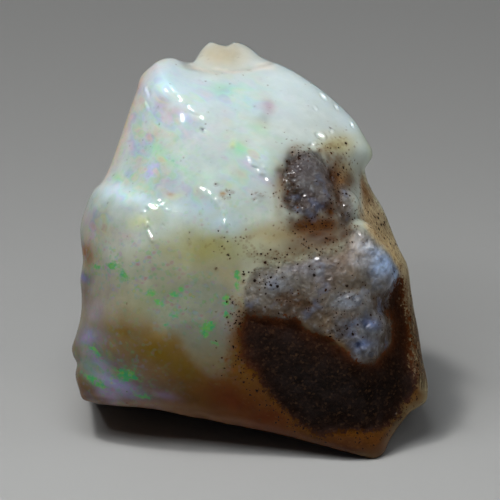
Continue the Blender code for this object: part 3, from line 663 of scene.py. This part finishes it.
# Soft tints on the potch, in the same form as those on the opal.
POTCH_TINTS = [
    ("8c887e", [
        (1.4, -1.9, 1.8, 1.0, 0, 0.9), (2.6, -1.1, 2.2, 0.6, 0, 0.7), (0.8, -3.3, 1.0, 1.0, 0, 0.5),
    ]),
    ("a29c9e", [(4.2, -0.8, 1.3, 0.6, 0, 0.7), (5.6, -0.2, 1.2, 0.5, 10, 0.7)]),
    ("847062", [(6.9, -1.3, 1.6, 1.0, 20, 0.8)]),
    ("9c8878", [(7.6, 0.2, 1.2, 0.9, 0, 0.8)]),
    ("463520", [
        (3.2, -3.0, 1.8, 0.7, 5, 0.8), (5.0, -3.9, 1.6, 0.8, -20, 0.9), (6.3, -4.6, 1.4, 0.6, -30, 0.85),
        (10.9, -3.9, 0.9, 0.8, 0, 0.9), (1.8, -4.3, 1.8, 0.4, 0, 0.7), (8.9, -2.2, 1.0, 0.4, 20, 0.4),
    ]),
    ("c6b49e", [(8.6, 1.2, 1.1, 1.0, -35, 0.9)]),
    ("d2d4da", [(9.8, 1.0, 1.0, 0.8, -35, 0.95), (9.1, -0.2, 0.9, 0.6, 0, 0.5)]),
    ("b4d2ff", [
        (11.4, -0.5, 1.0, 0.9, -40, 1.0), (12.2, -1.4, 0.6, 1.0, 0, 1.0),
        (10.6, 0.4, 0.8, 0.5, -35, 0.5),
    ]),
    ("8c94a0", [
        (2.3, -2.0, 1.1, 0.6, 10, 0.6), (5.4, -1.0, 1.0, 0.5, 0, 0.5), (8.2, -3.4, 1.2, 0.5, 0, 0.8),
    ]),
    ("4a3420", [
        (3.6, -3.6, 1.4, 0.6, -10, 0.8), (5.0, -4.4, 1.0, 0.5, -35, 0.5), (0.4, -4.2, 0.8, 0.4, 0, 0.7),
    ]),
    ("8c7a64", [(6.5, -5.2, 0.6, 0.5, -35, 0.8), (8.2, -1.3, 0.9, 0.6, 0, 0.7)]),
    ("343a48", [
        (9.9, -5.6, 1.3, 1.2, 0, 0.9), (8.2, -5.8, 1.2, 1.0, 0, 0.9), (9.2, -7.4, 1.4, 1.0, 0, 0.9),
    ]),
    ("5a70a0", [
        (10.2, -5.3, 0.7, 0.4, 0, 0.8), (9.5, -7.1, 0.8, 0.5, 0, 0.8), (8.5, -6.2, 0.4, 0.3, 0, 0.5),
    ]),
]  # fmt: skip
# Where specks, pastel fire and sparkle gather, each in the same form as the rust stains.
SPECK_ZONES = [
    # around the pocket
    (7.2, 6.2, 1.0, 2.6, -8, 1.0), (5.4, 2.8, 2.2, 0.9, 10, 1.0), (3.2, 6.4, 0.7, 2.6, -8, 0.7),
    (4.4, 8.9, 1.4, 0.6, 20, 0.6), (7.0, 9.4, 1.6, 0.5, 30, 0.4), (8.2, 4.2, 0.9, 2.0, 0, 0.5),
    # over the potch and along its edge with the rock
    (2.4, 0.2, 3.2, 0.7, -10, 0.8), (1.6, -1.6, 2.0, 0.9, 0, 0.6), (6.4, 1.2, 2.4, 0.7, 10, 0.6),
    (5.2, -3.2, 5.0, 1.2, 0, 0.45), (7.8, -5.4, 1.4, 1.6, 0, 0.5), (11.3, -4.6, 0.8, 1.8, 0, 0.6),
    # around the rock
    (-0.9, -6.0, 0.8, 2.6, 5, 1.3), (0.0, -9.6, 1.0, 2.4, 28, 1.3), (2.6, -12.6, 2.4, 0.8, -40, 1.0),
    (9.8, -15.0, 2.0, 0.6, 8, 1.0), (12.6, -13.0, 1.6, 0.7, 45, 0.9), (13.8, -9.0, 0.5, 3.6, -5, 0.9),
    (13.4, -4.4, 0.4, 3.6, -5, 0.6), (10.9, 3.2, 1.0, 3.0, 35, 0.7), (12.6, -0.6, 0.5, 2.4, 0, 0.5),
    (6.0, -14.9, 3.0, 0.5, -5, 0.4), (-1.6, -8.6, 0.8, 1.0, 0, 0.8),
    # a few far from it
    (-2.0, 5.3, 1.0, 0.5, -10, 0.25), (0.9, 5.6, 1.2, 0.5, 0, 0.3), (-1.0, 1.2, 2.6, 1.2, 0, 0.28),
]  # fmt: skip
PASTEL_ZONES = [
    (-8.6, 10.6, 4.4, 5.0, 20, 1.0), (-8.0, 6.6, 4.2, 2.4, 0, 1.0), (-0.6, 8.0, 3.0, 3.0, 0, 0.7),
    (-2.0, 13.6, 4.0, 2.0, 0, 0.6), (-12.8, 3.0, 1.8, 3.0, 0, 0.8), (-12.6, -8.6, 2.6, 3.6, 0, 0.9),
    (-8.6, -10.6, 3.0, 1.4, -12, 0.4),
]  # fmt: skip
SPARKLE_ZONES = [
    (-10.0, -1.0, 5.0, 3.4, 0, 1.0), (-5.0, -3.6, 4.4, 3.0, 0, 1.0), (-11.6, -9.0, 4.4, 3.2, -20, 0.9),
    (-8.6, 9.0, 5.0, 5.0, 0, 0.35), (-3.0, 4.0, 5.0, 2.4, 0, 0.35), (-2.0, -8.0, 3.0, 2.0, 0, 0.3),
]  # fmt: skip
# Flashes of green fire: (u, v, half length, half width, turn, strength)
FLASHES = [
    (-12.9, -0.6, 0.55, 0.30, -20, 0.7), (-11.5, -0.5, 0.6, 0.40, 0, 0.8),
    (-10.6, -1.2, 0.7, 0.35, -50, 0.9), (-8.2, -2.8, 0.6, 0.30, 0, 0.8),
    (-6.4, -2.8, 0.5, 0.35, 0, 0.8), (-5.8, -2.4, 0.4, 0.30, 0, 0.8),
    (-7.6, -3.6, 0.6, 0.25, -30, 0.7), (-6.4, -4.6, 0.5, 0.30, 0, 0.7),
    (-3.5, -5.5, 0.7, 0.50, 10, 1.0), (-3.8, -6.2, 0.4, 0.4, 60, 0.9),
    (-1.1, -1.3, 0.35, 0.6, 10, 0.9), (-1.1, -2.1, 0.3, 0.5, 0, 0.8),
    (-2.0, -3.4, 0.35, 0.6, 0, 0.8), (-2.0, -4.6, 0.3, 0.5, 0, 0.7),
    (-2.9, -6.9, 0.5, 0.3, -30, 0.6), (-7.1, -5.4, 0.5, 0.25, 0, 0.5),
    (-10.3, -9.7, 1.2, 0.7, -10, 0.9), (-12.9, -7.8, 1.1, 0.3, -50, 0.7),
    (-13.0, -10.2, 1.7, 0.35, -35, 0.8), (-8.7, -11.5, 0.9, 0.25, -14, 0.7),
    (-8.6, 9.1, 0.9, 0.5, 0, 0.22), (-6.0, 8.0, 1.6, 0.4, -35, 0.2), (-2.2, 8.6, 0.6, 0.4, 0, 0.2),
]  # fmt: skip


def made_of(face, outward):
    """Everything the materials need to know at each point, by name."""
    u, depth, v = face.T
    above_face = -depth - face_height(u, v)
    # the face's own materials stop where the surface turns away or drops far below the face
    in_front = smooth_step(0.5 - outward[:, 1] * 1.6) * smooth_step((above_face + 2.4) / 1.2)
    bent_u = u + 0.35 * wander(face, 1.6, 4.2)
    bent_v = v + 0.35 * wander(face, 1.6, 8.3)

    to_rock = signed_distance(bent_u, bent_v, HOST_ROCK)
    potch_main = signed_distance(bent_u, bent_v, POTCH)
    potch_small = np.maximum(
        signed_distance(bent_u, bent_v, POCKET_POTCH), signed_distance(bent_u, bent_v, STRIP_POTCH)
    )
    potch_edge = np.maximum(potch_main, potch_small)

    # host rock that runs on round the right side and over part of the back
    behind = smooth_step(1.4 - 1.8 * in_front)
    right_side = smooth_step(outward[:, 0] * 2 - 0.4) * smooth_step((8.5 - v) / 3) * behind
    right_side *= smooth_step((u - 5) / 3)
    back_patch = blob(u, v, BACK_ROCK) * smooth_step(outward[:, 1] * 2 - 0.2)
    hidden_rock = np.maximum(right_side * 1.6, back_patch * 1.2) - 0.75
    hidden_rock = hidden_rock + 0.22 * wander(face, 2.4, 11.0)
    crisp = np.exp(-np.abs(potch_main) / 0.5)
    rock_front = np.minimum(to_rock, 0.1 - potch_main) / (0.45 - 0.25 * crisp)
    rock_edge = np.where(in_front + 0.10 * wander(face, 1.2, 5.5) > 0.3, rock_front, hidden_rock * 6)
    return {
        "in_front": in_front,
        "to_rock": to_rock,
        "rock_edge": rock_edge,
        "potch_edge": np.where(in_front > 0.2, potch_edge, -3.0),
        "flank": in_front * smooth_step((signed_distance(bent_u, bent_v, FLANK) + 0.3) / 0.9),
        "u": bent_u,
        "v": bent_v,
    }


def ramped(height, stops):
    """The colour at each height, between the stops."""
    heights = [stop[0] for stop in stops]
    colours = np.array([linear(stop[1]) for stop in stops])
    return np.column_stack([np.interp(height, heights, colours[:, i]) for i in range(3)])


def opal_colours(face, parts):
    """The colour of the opal and the potch at each point, before the shader's fine work."""
    u, v, front, flank = (parts[name] for name in ("u", "v", "in_front", "flank"))
    cloud = smooth_step(0.35 + signed_distance(u, v, CLOUD) / 1.6) * front
    outside_rock = -np.minimum(parts["rock_edge"], 0) * 0.45
    colours = laid_over(
        # the body colour, darker towards the base partly as painted shade
        ramped(v, BODY_AND_SHADE_BY_HEIGHT),
        ("7f8474", 0.85 * cloud),
        ("786846", 0.8 * cloud * smooth_step((-6.4 - v) / 2.5)),
        *[(tint, front * blob(u, v, spots)) for tint, spots in OPAL_TINTS],
        # a brown border round the host rock
        ("6b430f", 0.5 * (front * np.exp(-outside_rock / 0.9))),
        ("2c1505", 0.8 * front * np.exp(-outside_rock / 0.30)),
        # the tan flank, darker lower down
        ("d8b887", 0.9 * flank),
        ("dcbe88", flank * blob(u, v, [(11.4, 1.6, 0.9, 2.0, 30, 0.9)])),
        ("54402c", 0.95 * flank * smooth_step((0.2 - v) / 2.5)),
        ("1e140c", 0.95 * flank * smooth_step((-3.4 - v) / 2.0)),
        ("2a1606", front * blob(u, v, [(12.2, -13.2, 1.6, 1.3, 20, 0.9)])),
    )

    from_middle = np.hypot(u, v)
    to_rim = np.abs(1 - from_middle / outline_radius(np.arctan2(v, u))) * from_middle
    # painted glow of light shining through the thin left rim, peach in its upper part
    glow_through_left_rim = np.exp(-to_rim / 0.7) * smooth_step((-6 - u) / 3)
    colours = laid_over(
        colours,
        (ramped(v, RIM_BY_HEIGHT), 0.85 * front * np.exp(-to_rim / 0.5) * smooth_step((u - 8) / 2)),
        ("6e4414", front * blob(u, v, [(9.75, 5.9, 0.45, 1.6, 12, 1.0)])),
        ("e2bda2", 0.75 * front * glow_through_left_rim * smooth_step((v - 5) / 3)),
    )

    grey = laid_over(
        colours,
        ("6c655d", np.full(len(u), 0.92)),
        *[(tint, blob(u, v, spots)) for tint, spots in POTCH_TINTS],
        ("3a2414", 0.8 * np.exp(-np.abs(parts["to_rock"]) / 0.45)),
    )
    ragged_u, ragged_v = u + 0.5 * wander(face, 0.9, 12.0), v + 0.5 * wander(face, 0.9, 14.0)
    pocket = inside_patch(ragged_u, ragged_v, POCKET_POTCH, 1.1)
    return laid_over(
        colours,
        (grey, smooth_step(0.5 + parts["potch_edge"] / 0.9)),
        ("32271f", 0.95 * pocket * front),
        ("564c4e", front * blob(u, v, POCKET_LUMPS)),
        ("3c1f0a", front * blob(u, v, RUST_SPOTS)),
    )


# ---------------------------------------------------------------- the mesh

FACE_SQUARES = 250  # squares across the blank
SIDE_ROWS = 18  # rows through the blank
THINNING = 0.62  # the share of all triangles that is left when the sides and back are thinned


def stone_surface():
    """The fine stone, before it is leaned back and its base is cut."""
    bm = square_blank(FACE_SQUARES, SIDE_ROWS)
    blank = np.array([v.co for v in bm.verts])
    through = share_through(blank[:, 1])
    points = with_knobs(roughened(shaped(blank), through), through == 0)
    for vert, point in zip(bm.verts, points):
        vert.co = point
    mesh = bpy.data.meshes.new("stone_surface")
    bm.to_mesh(mesh)
    bm.free()
    outward = np.empty(len(mesh.vertices) * 3, np.float32)
    mesh.vertex_normals.foreach_get("vector", outward)
    outward = outward.reshape(-1, 3).astype(float)
    on_face = (through == 0).astype(float)
    parts = made_of(points, outward)
    rock = smooth_step(0.5 + parts["rock_edge"] / 0.5)
    potch = smooth_step(0.5 + parts["potch_edge"] / 0.8)
    raised = relief(points, on_face, rock, potch)
    points = chipped(points + outward * raised[:, None], on_face > 0)
    mesh.vertices.foreach_set("co", points.ravel())
    mesh.update()
    return mesh, through


def thinned(mesh, through):
    """The mesh with the triangles of its sides and back merged where they aren't needed."""
    holder = bpy.data.objects.new("stone_fine", mesh)
    bpy.context.scene.collection.objects.link(holder)
    behind = holder.vertex_groups.new(name="behind")
    behind.add([int(i) for i in np.flatnonzero(through > 0.1)], 1.0, "ADD")
    decimate = holder.modifiers.new("thin", "DECIMATE")
    decimate.vertex_group = "behind"
    decimate.vertex_group_factor = 1.0
    decimate.ratio = THINNING
    triangulate = holder.modifiers.new("triangles", "TRIANGULATE")
    triangulate.quad_method = "SHORTEST_DIAGONAL"
    graph = bpy.context.evaluated_depsgraph_get()
    result = bpy.data.meshes.new_from_object(holder.evaluated_get(graph))
    bpy.data.objects.remove(holder)
    return result


def cut_level(mesh):
    """The stone leaned back and cut off flat at z = 0, where it rests."""
    bm = bmesh.new()
    bm.from_mesh(mesh)
    bmesh.ops.transform(bm, verts=bm.verts, matrix=leaned())
    everything = list(bm.verts) + list(bm.edges) + list(bm.faces)
    cut = bmesh.ops.bisect_plane(
        bm, geom=everything, dist=1e-6, plane_co=(0, 0, 0), plane_no=(0, 0, -1), clear_outer=True
    )
    rim = [e for e in cut["geom_cut"] if isinstance(e, bmesh.types.BMEdge)]
    bmesh.ops.contextual_create(bm, geom=rim)
    bmesh.ops.triangulate(bm, faces=bm.faces)
    bmesh.ops.recalc_face_normals(bm, faces=bm.faces)
    bm.to_mesh(mesh)
    bm.free()


def store(mesh, name, values):
    """Keeps one number, or one colour, for each point of the mesh."""
    values = np.asarray(values, np.float32)
    if values.ndim == 1:
        mesh.attributes.new(name, "FLOAT", "POINT").data.foreach_set("value", values)
    elif name == "face_mm":
        mesh.attributes.new(name, "FLOAT_VECTOR", "POINT").data.foreach_set("vector", values.ravel())
    else:
        rgba = np.column_stack([values, np.ones(len(values), np.float32)])
        mesh.attributes.new(name, "FLOAT_COLOR", "POINT").data.foreach_set("color", rgba.ravel())


def paint(mesh):
    """Stores what each point is made of, for the materials."""
    count = len(mesh.vertices)
    world = np.empty(count * 3, np.float32)
    mesh.vertices.foreach_get("co", world)
    upright = np.column_stack([world.reshape(-1, 3), np.ones(count)])
    face = (upright @ np.array(leaned().inverted()).T)[:, :3]
    outward = np.empty(count * 3, np.float32)
    mesh.vertex_normals.foreach_get("vector", outward)
    turn = np.array(Matrix.Rotation(math.radians(LEAN), 3, "X"))
    outward = outward.reshape(-1, 3) @ turn.T
    parts = made_of(face, outward)
    front, u, v = parts["in_front"], parts["u"], parts["v"]
    face_u, face_v = face[:, 0], face[:, 2]
    nearest_chip = np.min([from_chip(face_u, face_v, chip) for chip in CHIPS], axis=0)
    within_rock = np.maximum(parts["to_rock"], 0)
    rust = 0.15 * np.exp(-within_rock / 1.4) + 0.45 * np.exp(-within_rock / 0.35)
    kept = {
        "face_mm": face,
        "body_colour": opal_colours(face, parts),
        "rock_edge": parts["rock_edge"],
        "potch_edge": parts["potch_edge"],
        "flank": parts["flank"],
        "specks": SPECKS_BEHIND * (1 - front) + front * blob(u, v, SPECK_ZONES),
        "pastel": PASTEL_BEHIND * (1 - front) + front * blob(u, v, PASTEL_ZONES),
        "flash": front * blob(face_u, face_v, FLASHES),
        "sparkle": front * blob(u, v, SPARKLE_ZONES),
        "chip": front * smooth_step((1.6 - nearest_chip) / 0.8),
        "rusty": front * rust * (0.25 + 0.75 * smooth_step((v + 11) / 4)),
        "proud": (-face[:, 1] - face_height(face_u, face_v)) / 0.35,
    }
    for name, values in kept.items():
        store(mesh, name, values)


# ---------------------------------------------------------------- materials


class Field:
    """A value that varies over a surface: a shader socket that can be used in sums."""

    def __init__(self, tree, socket):
        self.tree = tree
        self.socket = socket

    def node(self, kind, settings=None, values=None, out=0):
        """A new node in the same tree. Its settings are set first, then its sockets."""
        node = self.tree.nodes.new("ShaderNode" + kind)
        for name, setting in (settings or {}).items():
            if name == "stops":
                set_stops(node.color_ramp.elements, setting)
            else:
                setattr(node, name, setting)
        for name, value in (values or {}).items():
            if isinstance(value, Field):
                self.tree.links.new(value.socket, node.inputs[name])
            else:
                node.inputs[name].default_value = value
        return Field(self.tree, node.outputs[out])

    def math(self, operation, *others):
        return self.node("Math", {"operation": operation}, dict(enumerate((self, *others))))

    def __add__(self, other):
        return self.math("ADD", other)

    def __sub__(self, other):
        return self.math("SUBTRACT", other)

    def __mul__(self, other):
        return self.math("MULTIPLY", other)

    def __truediv__(self, other):
        return self.math("DIVIDE", other)

    def __rsub__(self, other):
        return self.node("Math", {"operation": "SUBTRACT"}, {0: other, 1: self})

    __radd__ = __add__
    __rmul__ = __mul__

    def rising(self, low, high):
        """0 below low, 1 above high, and smooth between. Falls where low is above high."""
        start, end = (0.0, 1.0) if low < high else (1.0, 0.0)
        values = {0: self, 1: min(low, high), 2: max(low, high), 3: start, 4: end}
        return self.node("MapRange", {"interpolation_type": "SMOOTHSTEP"}, values)

    def channel(self, index):
        """One of the three channels of this colour."""
        return self.node("SeparateColor", {}, {"Color": self}, index)

    def ramp(self, stops):
        """The colour at this value, between stops of (position, screen colour)."""
        return self.node("ValToRGB", {"stops": stops}, {"Fac": self})

    def under(self, colour, share, blend="MIX"):
        """This colour with another laid over it, as strongly as share says."""
        settings = {"data_type": "RGBA", "blend_type": blend}
        return self.node("Mix", settings, {0: share, 6: self, 7: colour}, out=2)


def set_stops(elements, stops):
    """The stops of a colour ramp: (position, screen colour) each."""
    while len(elements) < len(stops):
        elements.new(0.5)
    for element, (position, hex_colour) in zip(elements, stops):
        element.position = position
        element.color = (*linear(hex_colour), 1)


def colour(hex_colour):
    """A screen colour for a shader's socket."""
    return (*linear(hex_colour), 1.0)


# Colours of the fire, the specks and the rock's sand: (position, screen colour)
PASTEL_HUES = [
    (0.0, "e0a0b4"), (0.2, "b8a4e0"), (0.38, "9cc8e8"), (0.55, "8fe0a8"), (0.75, "d4dc88"),
    (1.0, "e8b090"),
]  # fmt: skip
SPARK_HUES = [(0.0, "b07078"), (0.3, "8f8fa8"), (0.5, "6fa08a"), (0.7, "78b070"), (1.0, "a89858")]
FLASH_GREENS = [(0.0, "2f9a68"), (0.4, "3fa45a"), (0.75, "68a848"), (1.0, "4aa48c")]
SPECK_BROWNS = [(0.0, "0e0603"), (0.7, "170b05"), (0.9, "301505"), (1.0, "54290a")]
SAND_BROWNS = [(0.0, "080402"), (0.35, "100804"), (0.65, "190e08"), (0.88, "27190f"), (1.0, "3e2a1a")]


def stone_material():
    """One material for the whole stone, which turns from opal to potch and to host rock."""
    material = bpy.data.materials.new("opal_potch_and_host_rock")
    material.use_nodes = True
    tree = material.node_tree
    tree.nodes.clear()
    start = Field(tree, None)

    def stored(name, out=2):
        return start.node("Attribute", {"attribute_name": name}, out=out)

    place = stored("face_mm", 1)

    def stretched(u, depth, v):
        return place.node("VectorMath", {"operation": "MULTIPLY"}, {0: place, 1: (u, depth, v)})

    def noise_field(scale, detail=3.0, where=place, roughness=0.55, out=0):
        values = {"Vector": where, "Scale": scale, "Detail": detail, "Roughness": roughness}
        return place.node("TexNoise", {}, values, out)

    def cells(scale, where=place, feature="F1", out=0):
        return place.node("TexVoronoi", {"feature": feature}, {"Vector": where, "Scale": scale}, out)

    fine = noise_field(2.2, 4.0)
    finer = noise_field(6.0, 4.0)
    ragged = (fine - 0.5) * 1.3 + (finer - 0.5) * 0.8

    # where the opal gives way to potch and to host rock
    rock = (stored("rock_edge") + ragged * 4.2).rising(-0.4, 0.3)
    potch = (stored("potch_edge") + ragged * 0.8).rising(-0.25, 0.35)
    flank = stored("flank")

    # the opal's own colour
    body = stored("body_colour", 0)
    milky = body.under(colour("ffffff"), noise_field(0.5, 4.0).rising(0.40, 0.75) * 0.25, "SOFT_LIGHT")
    cloudy = milky.under(colour("4c5048"), noise_field(0.9, 5.0).rising(0.45, 0.8) * 0.20, "SOFT_LIGHT")

    # play of colour: soft clouds of pastel with small tiles among them, and brighter green flashes
    slanting = {
        "Vector": place,
        "Rotation": (0.0, math.radians(-HACKLE_TURN), 0.0),
        "Scale": (1.8, 1.4, 0.8),
    }
    slant = place.node("Mapping", {"vector_type": "TEXTURE"}, slanting)
    cloud_hue = noise_field(0.55, 2.0, slant).rising(0.25, 0.75).ramp(PASTEL_HUES)
    tile = cells(1.1, slant, "SMOOTH_F1", out=1)
    tiles, tile_light = tile.channel(0).ramp(PASTEL_HUES), tile.channel(1)
    pastel = stored("pastel") * (1 - potch)
    clouded = cloudy.under(cloud_hue, pastel * noise_field(0.6, 3.0).rising(0.3, 0.7) * 0.45, "COLOR")
    lively = clouded.under(tiles, pastel * tile_light.rising(0.45, 0.8) * 0.42, "COLOR")
    lively = lively.under(tiles, pastel * tile_light.rising(0.5, 0.9) * 0.06)

    # fine iridescent grain through the clear opal, strongest low on the face
    spark = cells(3.2, stretched(1.0, 0.8, 1.1), "SMOOTH_F1", out=1)
    sparks, spark_light = spark.channel(0).ramp(SPARK_HUES), spark.channel(1)
    grainy = stored("sparkle") * (1 - potch)
    lively = lively.under(sparks, grainy * spark_light.rising(0.35, 0.75) * 0.55, "COLOR")
    lively = lively.under(sparks, grainy * spark_light.rising(0.55, 0.95) * 0.22)

    # flashes of green fire, each a cluster of small bright slivers
    sliver = cells(3.4, stretched(1.0, 0.8, 1.25), "SMOOTH_F1", out=1)
    flash = (stored("flash") * 1.9 + (finer - 0.5) * 1.2 - sliver.channel(0) * 1.1).rising(0.0, 1.1)
    fiery = lively.under(sliver.channel(2).ramp(FLASH_GREENS), flash * 0.85)

    # fibres along the flank
    fibres = noise_field(1.6, 5.0, stretched(3.2, 3.2, 0.35), 0.7)
    fibrous = fiery.under(colour("7d5a36"), flank * fibres.rising(0.48, 0.62) * 0.7)
    fibrous = fibrous.under(colour("e5cf9f"), flank * fibres.rising(0.5, 0.36) * 0.4)

    # dark specks of sand caught in the opal around the host rock, each with a stained ring
    density = stored("specks") * (0.7 + noise_field(1.1, 3.0).rising(0.35, 0.65) * 0.6)
    wobbling = {0: noise_field(5.0, 2.0, out=1), "Scale": 0.22}
    wobble = place.node("VectorMath", {"operation": "SCALE"}, wobbling)
    bent = place.node("VectorMath", {"operation": "ADD"}, {0: place, 1: wobble})

    def specks(scale, size, share):
        middle = cells(scale, bent)
        tint = cells(scale, bent, out=1)
        grown = tint.channel(1) * size * 0.6 + size * 0.4
        chosen = (density * share - tint.channel(0)).rising(-0.02, 0.02)
        ring = (size * 3 - middle).rising(0.0, size * 3)
        return (grown - middle).rising(-0.04, 0.03) * chosen, ring * chosen

    coarse, coarse_stain = specks(2.2, 0.32, 0.75)
    small, small_stain = specks(4.4, 0.36, 0.85)
    speck = coarse.math("MAXIMUM", small)
    stain = coarse_stain.math("MAXIMUM", small_stain)
    speck_colour = cells(2.2, bent, out=1).channel(2).ramp(SPECK_BROWNS)

    # potch: translucent lumps, bluish in patches; painted light makes them pale on top and at the middles of
    # their grains, and painted shade makes them brown in the hollows and between the grains
    grains = cells(1.7, bent, "SMOOTH_F1")
    grit = cells(3.4, bent, "SMOOTH_F1")
    raised = stored("proud") + ragged * 0.3
    hollow = grains + grit * 0.6
    bluish = noise_field(0.6, 2.0).rising(0.52, 0.72)
    lumps_lit_and_shaded = fibrous.under(colour("a2a4a6"), potch * raised.rising(0.7, 1.6) * 0.20)
    lumps_lit_and_shaded = lumps_lit_and_shaded.under(colour("3c2e22"), potch * raised.rising(0.5, -0.1) * 0.45)
    lumps_lit_and_shaded = lumps_lit_and_shaded.under(colour("b4b8bc"), potch * hollow.rising(0.62, 0.25) * 0.20)
    lumps_lit_and_shaded = lumps_lit_and_shaded.under(colour("342619"), potch * hollow.rising(0.62, 0.95) * 0.34)
    lumps_lit_and_shaded = lumps_lit_and_shaded.under(colour("6d7f9f"), potch * bluish * 0.30)
    specked = lumps_lit_and_shaded.under(colour("6a4018"), stain * (0.45 - potch * 0.30))

    # the host rock: brown sandstone, grain by grain, with a rusty rim
    sand = cells(5.2, out=1).channel(0).ramp(SAND_BROWNS)
    darker = noise_field(0.8, 4.0, roughness=0.7).rising(0.48, 0.7)
    mottled = sand.under(colour("261d1a"), noise_field(0.45, 4.0).rising(0.45, 0.7) * 0.7)
    mottled = mottled.under(colour("120c0a"), darker * 0.6)
    rusty_rim = stored("rusty") * (fine + finer - 0.4).rising(0.0, 0.8)
    mottled = mottled.under(colour("6e360c"), rusty_rim)
    mottled = mottled.under(speck_colour, speck * (1 - rock))

    # bump, in millimetres
    chip = stored("chip")
    granular = grains * -0.20 + grit * -0.12 + finer * 0.04
    opal_bump = noise_field(5.0, 3.0) * 0.010 + noise_field(16.0, 2.0) * 0.002
    opal_bump = (opal_bump + potch * granular) * (1 - chip * 0.9)
    opal_bump = opal_bump + flank * fibres * 0.10
    rock_bump = noise_field(4.5, 5.0, roughness=0.7) * 0.16 + cells(5.0) * 0.06

    def bumped(height):
        return place.node("Bump", {}, {"Height": height, "Strength": 1.0, "Distance": MM})

    worn = noise_field(3.0, 4.0).rising(0.55, 0.8)
    dullness = 0.17 - chip * 0.05 + potch * 0.03 + flank * 0.3 + worn * 0.10
    opal = place.node(
        "BsdfPrincipled",
        {"subsurface_method": "RANDOM_WALK"},
        {
            "Base Color": specked,
            "Roughness": dullness,
            "IOR": 1.19,
            "Coat Weight": 0.04,
            "Coat Roughness": 0.08,
            "Subsurface Weight": 0.55,
            "Subsurface Radius": (1.0, 0.8, 0.6),
            "Subsurface Scale": 0.0009,
            "Normal": bumped(opal_bump),
        },
    )
    rough_rock = place.node(
        "BsdfPrincipled",
        {},
        {
            "Base Color": mottled,
            "Roughness": 0.9,
            "Specular IOR Level": 0.12,
            "Normal": bumped(rock_bump),
        },
    )
    sandy = rock.math("MAXIMUM", speck)
    both = place.node("MixShader", {}, {0: sandy, 1: opal, 2: rough_rock})
    output = tree.nodes.new("ShaderNodeOutputMaterial")
    tree.links.new(both.socket, output.inputs["Surface"])
    return material


def make_stone():
    mesh, through = stone_surface()
    mesh = thinned(mesh, through)
    cut_level(mesh)
    paint(mesh)
    mesh.shade_smooth()
    mesh.materials.append(stone_material())
    stone = bpy.data.objects.new("broken_opal", mesh)
    bpy.context.scene.collection.objects.link(stone)
    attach(stone, "root")
    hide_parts("opal")


# ---------------------------------------------------------------- floor, light and camera

CAMERA_DISTANCE = 1.0
FRAME_WIDTH = 0.042  # what the picture takes in at the middle of the stone
FRAME_MIDDLE_V = 0.84  # height on the face that the camera aims at
SENSOR = 36.0
FLOOR_RADIUS = 1.2


def make_floor():
    bm = bmesh.new()
    bmesh.ops.create_circle(bm, cap_ends=True, segments=96, radius=FLOOR_RADIUS)
    mesh = bpy.data.meshes.new("floor")
    bm.to_mesh(mesh)
    bm.free()
    material = bpy.data.materials.new("pale_floor")
    material.use_nodes = True
    shader = material.node_tree.nodes["Principled BSDF"]
    shader.inputs["Base Color"].default_value = colour("b8b7b4")
    shader.inputs["Roughness"].default_value = 0.7
    mesh.materials.append(material)
    floor = bpy.data.objects.new("floor", mesh)
    bpy.context.scene.collection.objects.link(floor)


def add_lamp(name, place, size, power, aim=(0, 0, 0.016), tint=(1, 1, 1), glints=True, fills=True):
    light = bpy.data.lights.new(name, "AREA")
    light.shape = "RECTANGLE"
    light.size, light.size_y = size
    light.energy = power
    light.color = tint
    lamp = bpy.data.objects.new(name, light)
    lamp.location = place
    lamp.visible_glossy = glints
    lamp.visible_diffuse = fills
    lamp.rotation_euler = (Vector(aim) - Vector(place)).to_track_quat("-Z", "Y").to_euler()
    bpy.context.scene.collection.objects.link(lamp)


def make_lights():
    add_lamp("softbox_above", (-0.03, -0.055, 0.125), (0.10, 0.08), 0.105, tint=(0.96, 1, 1.04), glints=False)
    add_lamp("lamp_above", (-0.13, -0.10, 0.40), (0.065, 0.035), 0.46)
    add_lamp("glints_above", (-0.13, -0.10, 0.40), (0.065, 0.035), 1.5, fills=False)
    add_lamp("lamp_front_left", (-0.20, -0.30, 0.36), (0.03, 0.03), 0.14)
    add_lamp("lamp_front_right", (0.16, -0.30, 0.40), (0.03, 0.03), 0.08)
    add_lamp("fill_right", (0.12, -0.045, 0.05), (0.04, 0.04), 0.022, glints=False)
    world = bpy.data.worlds.new("studio")
    world.use_nodes = True
    world.node_tree.nodes["Background"].inputs["Color"].default_value = (0.75, 0.78, 0.82, 1)
    world.node_tree.nodes["Background"].inputs["Strength"].default_value = 0.07
    bpy.context.scene.world = world
    bpy.context.scene.view_settings.view_transform = "Standard"


def make_camera():
    look = Vector((0, math.cos(math.radians(LEAN)), -math.sin(math.radians(LEAN))))
    aim = leaned() @ Vector((0, 0, FRAME_MIDDLE_V))
    data = bpy.data.cameras.new("camera")
    data.sensor_width = SENSOR
    data.lens = SENSOR * CAMERA_DISTANCE / FRAME_WIDTH
    data.clip_start = 0.01
    camera = bpy.data.objects.new("camera", data)
    camera.location = aim - look * CAMERA_DISTANCE
    camera.rotation_euler = look.to_track_quat("-Z", "Y").to_euler()
    bpy.context.scene.collection.objects.link(camera)
    bpy.context.scene.camera = camera


make_stone()
make_floor()
make_lights()
make_camera()
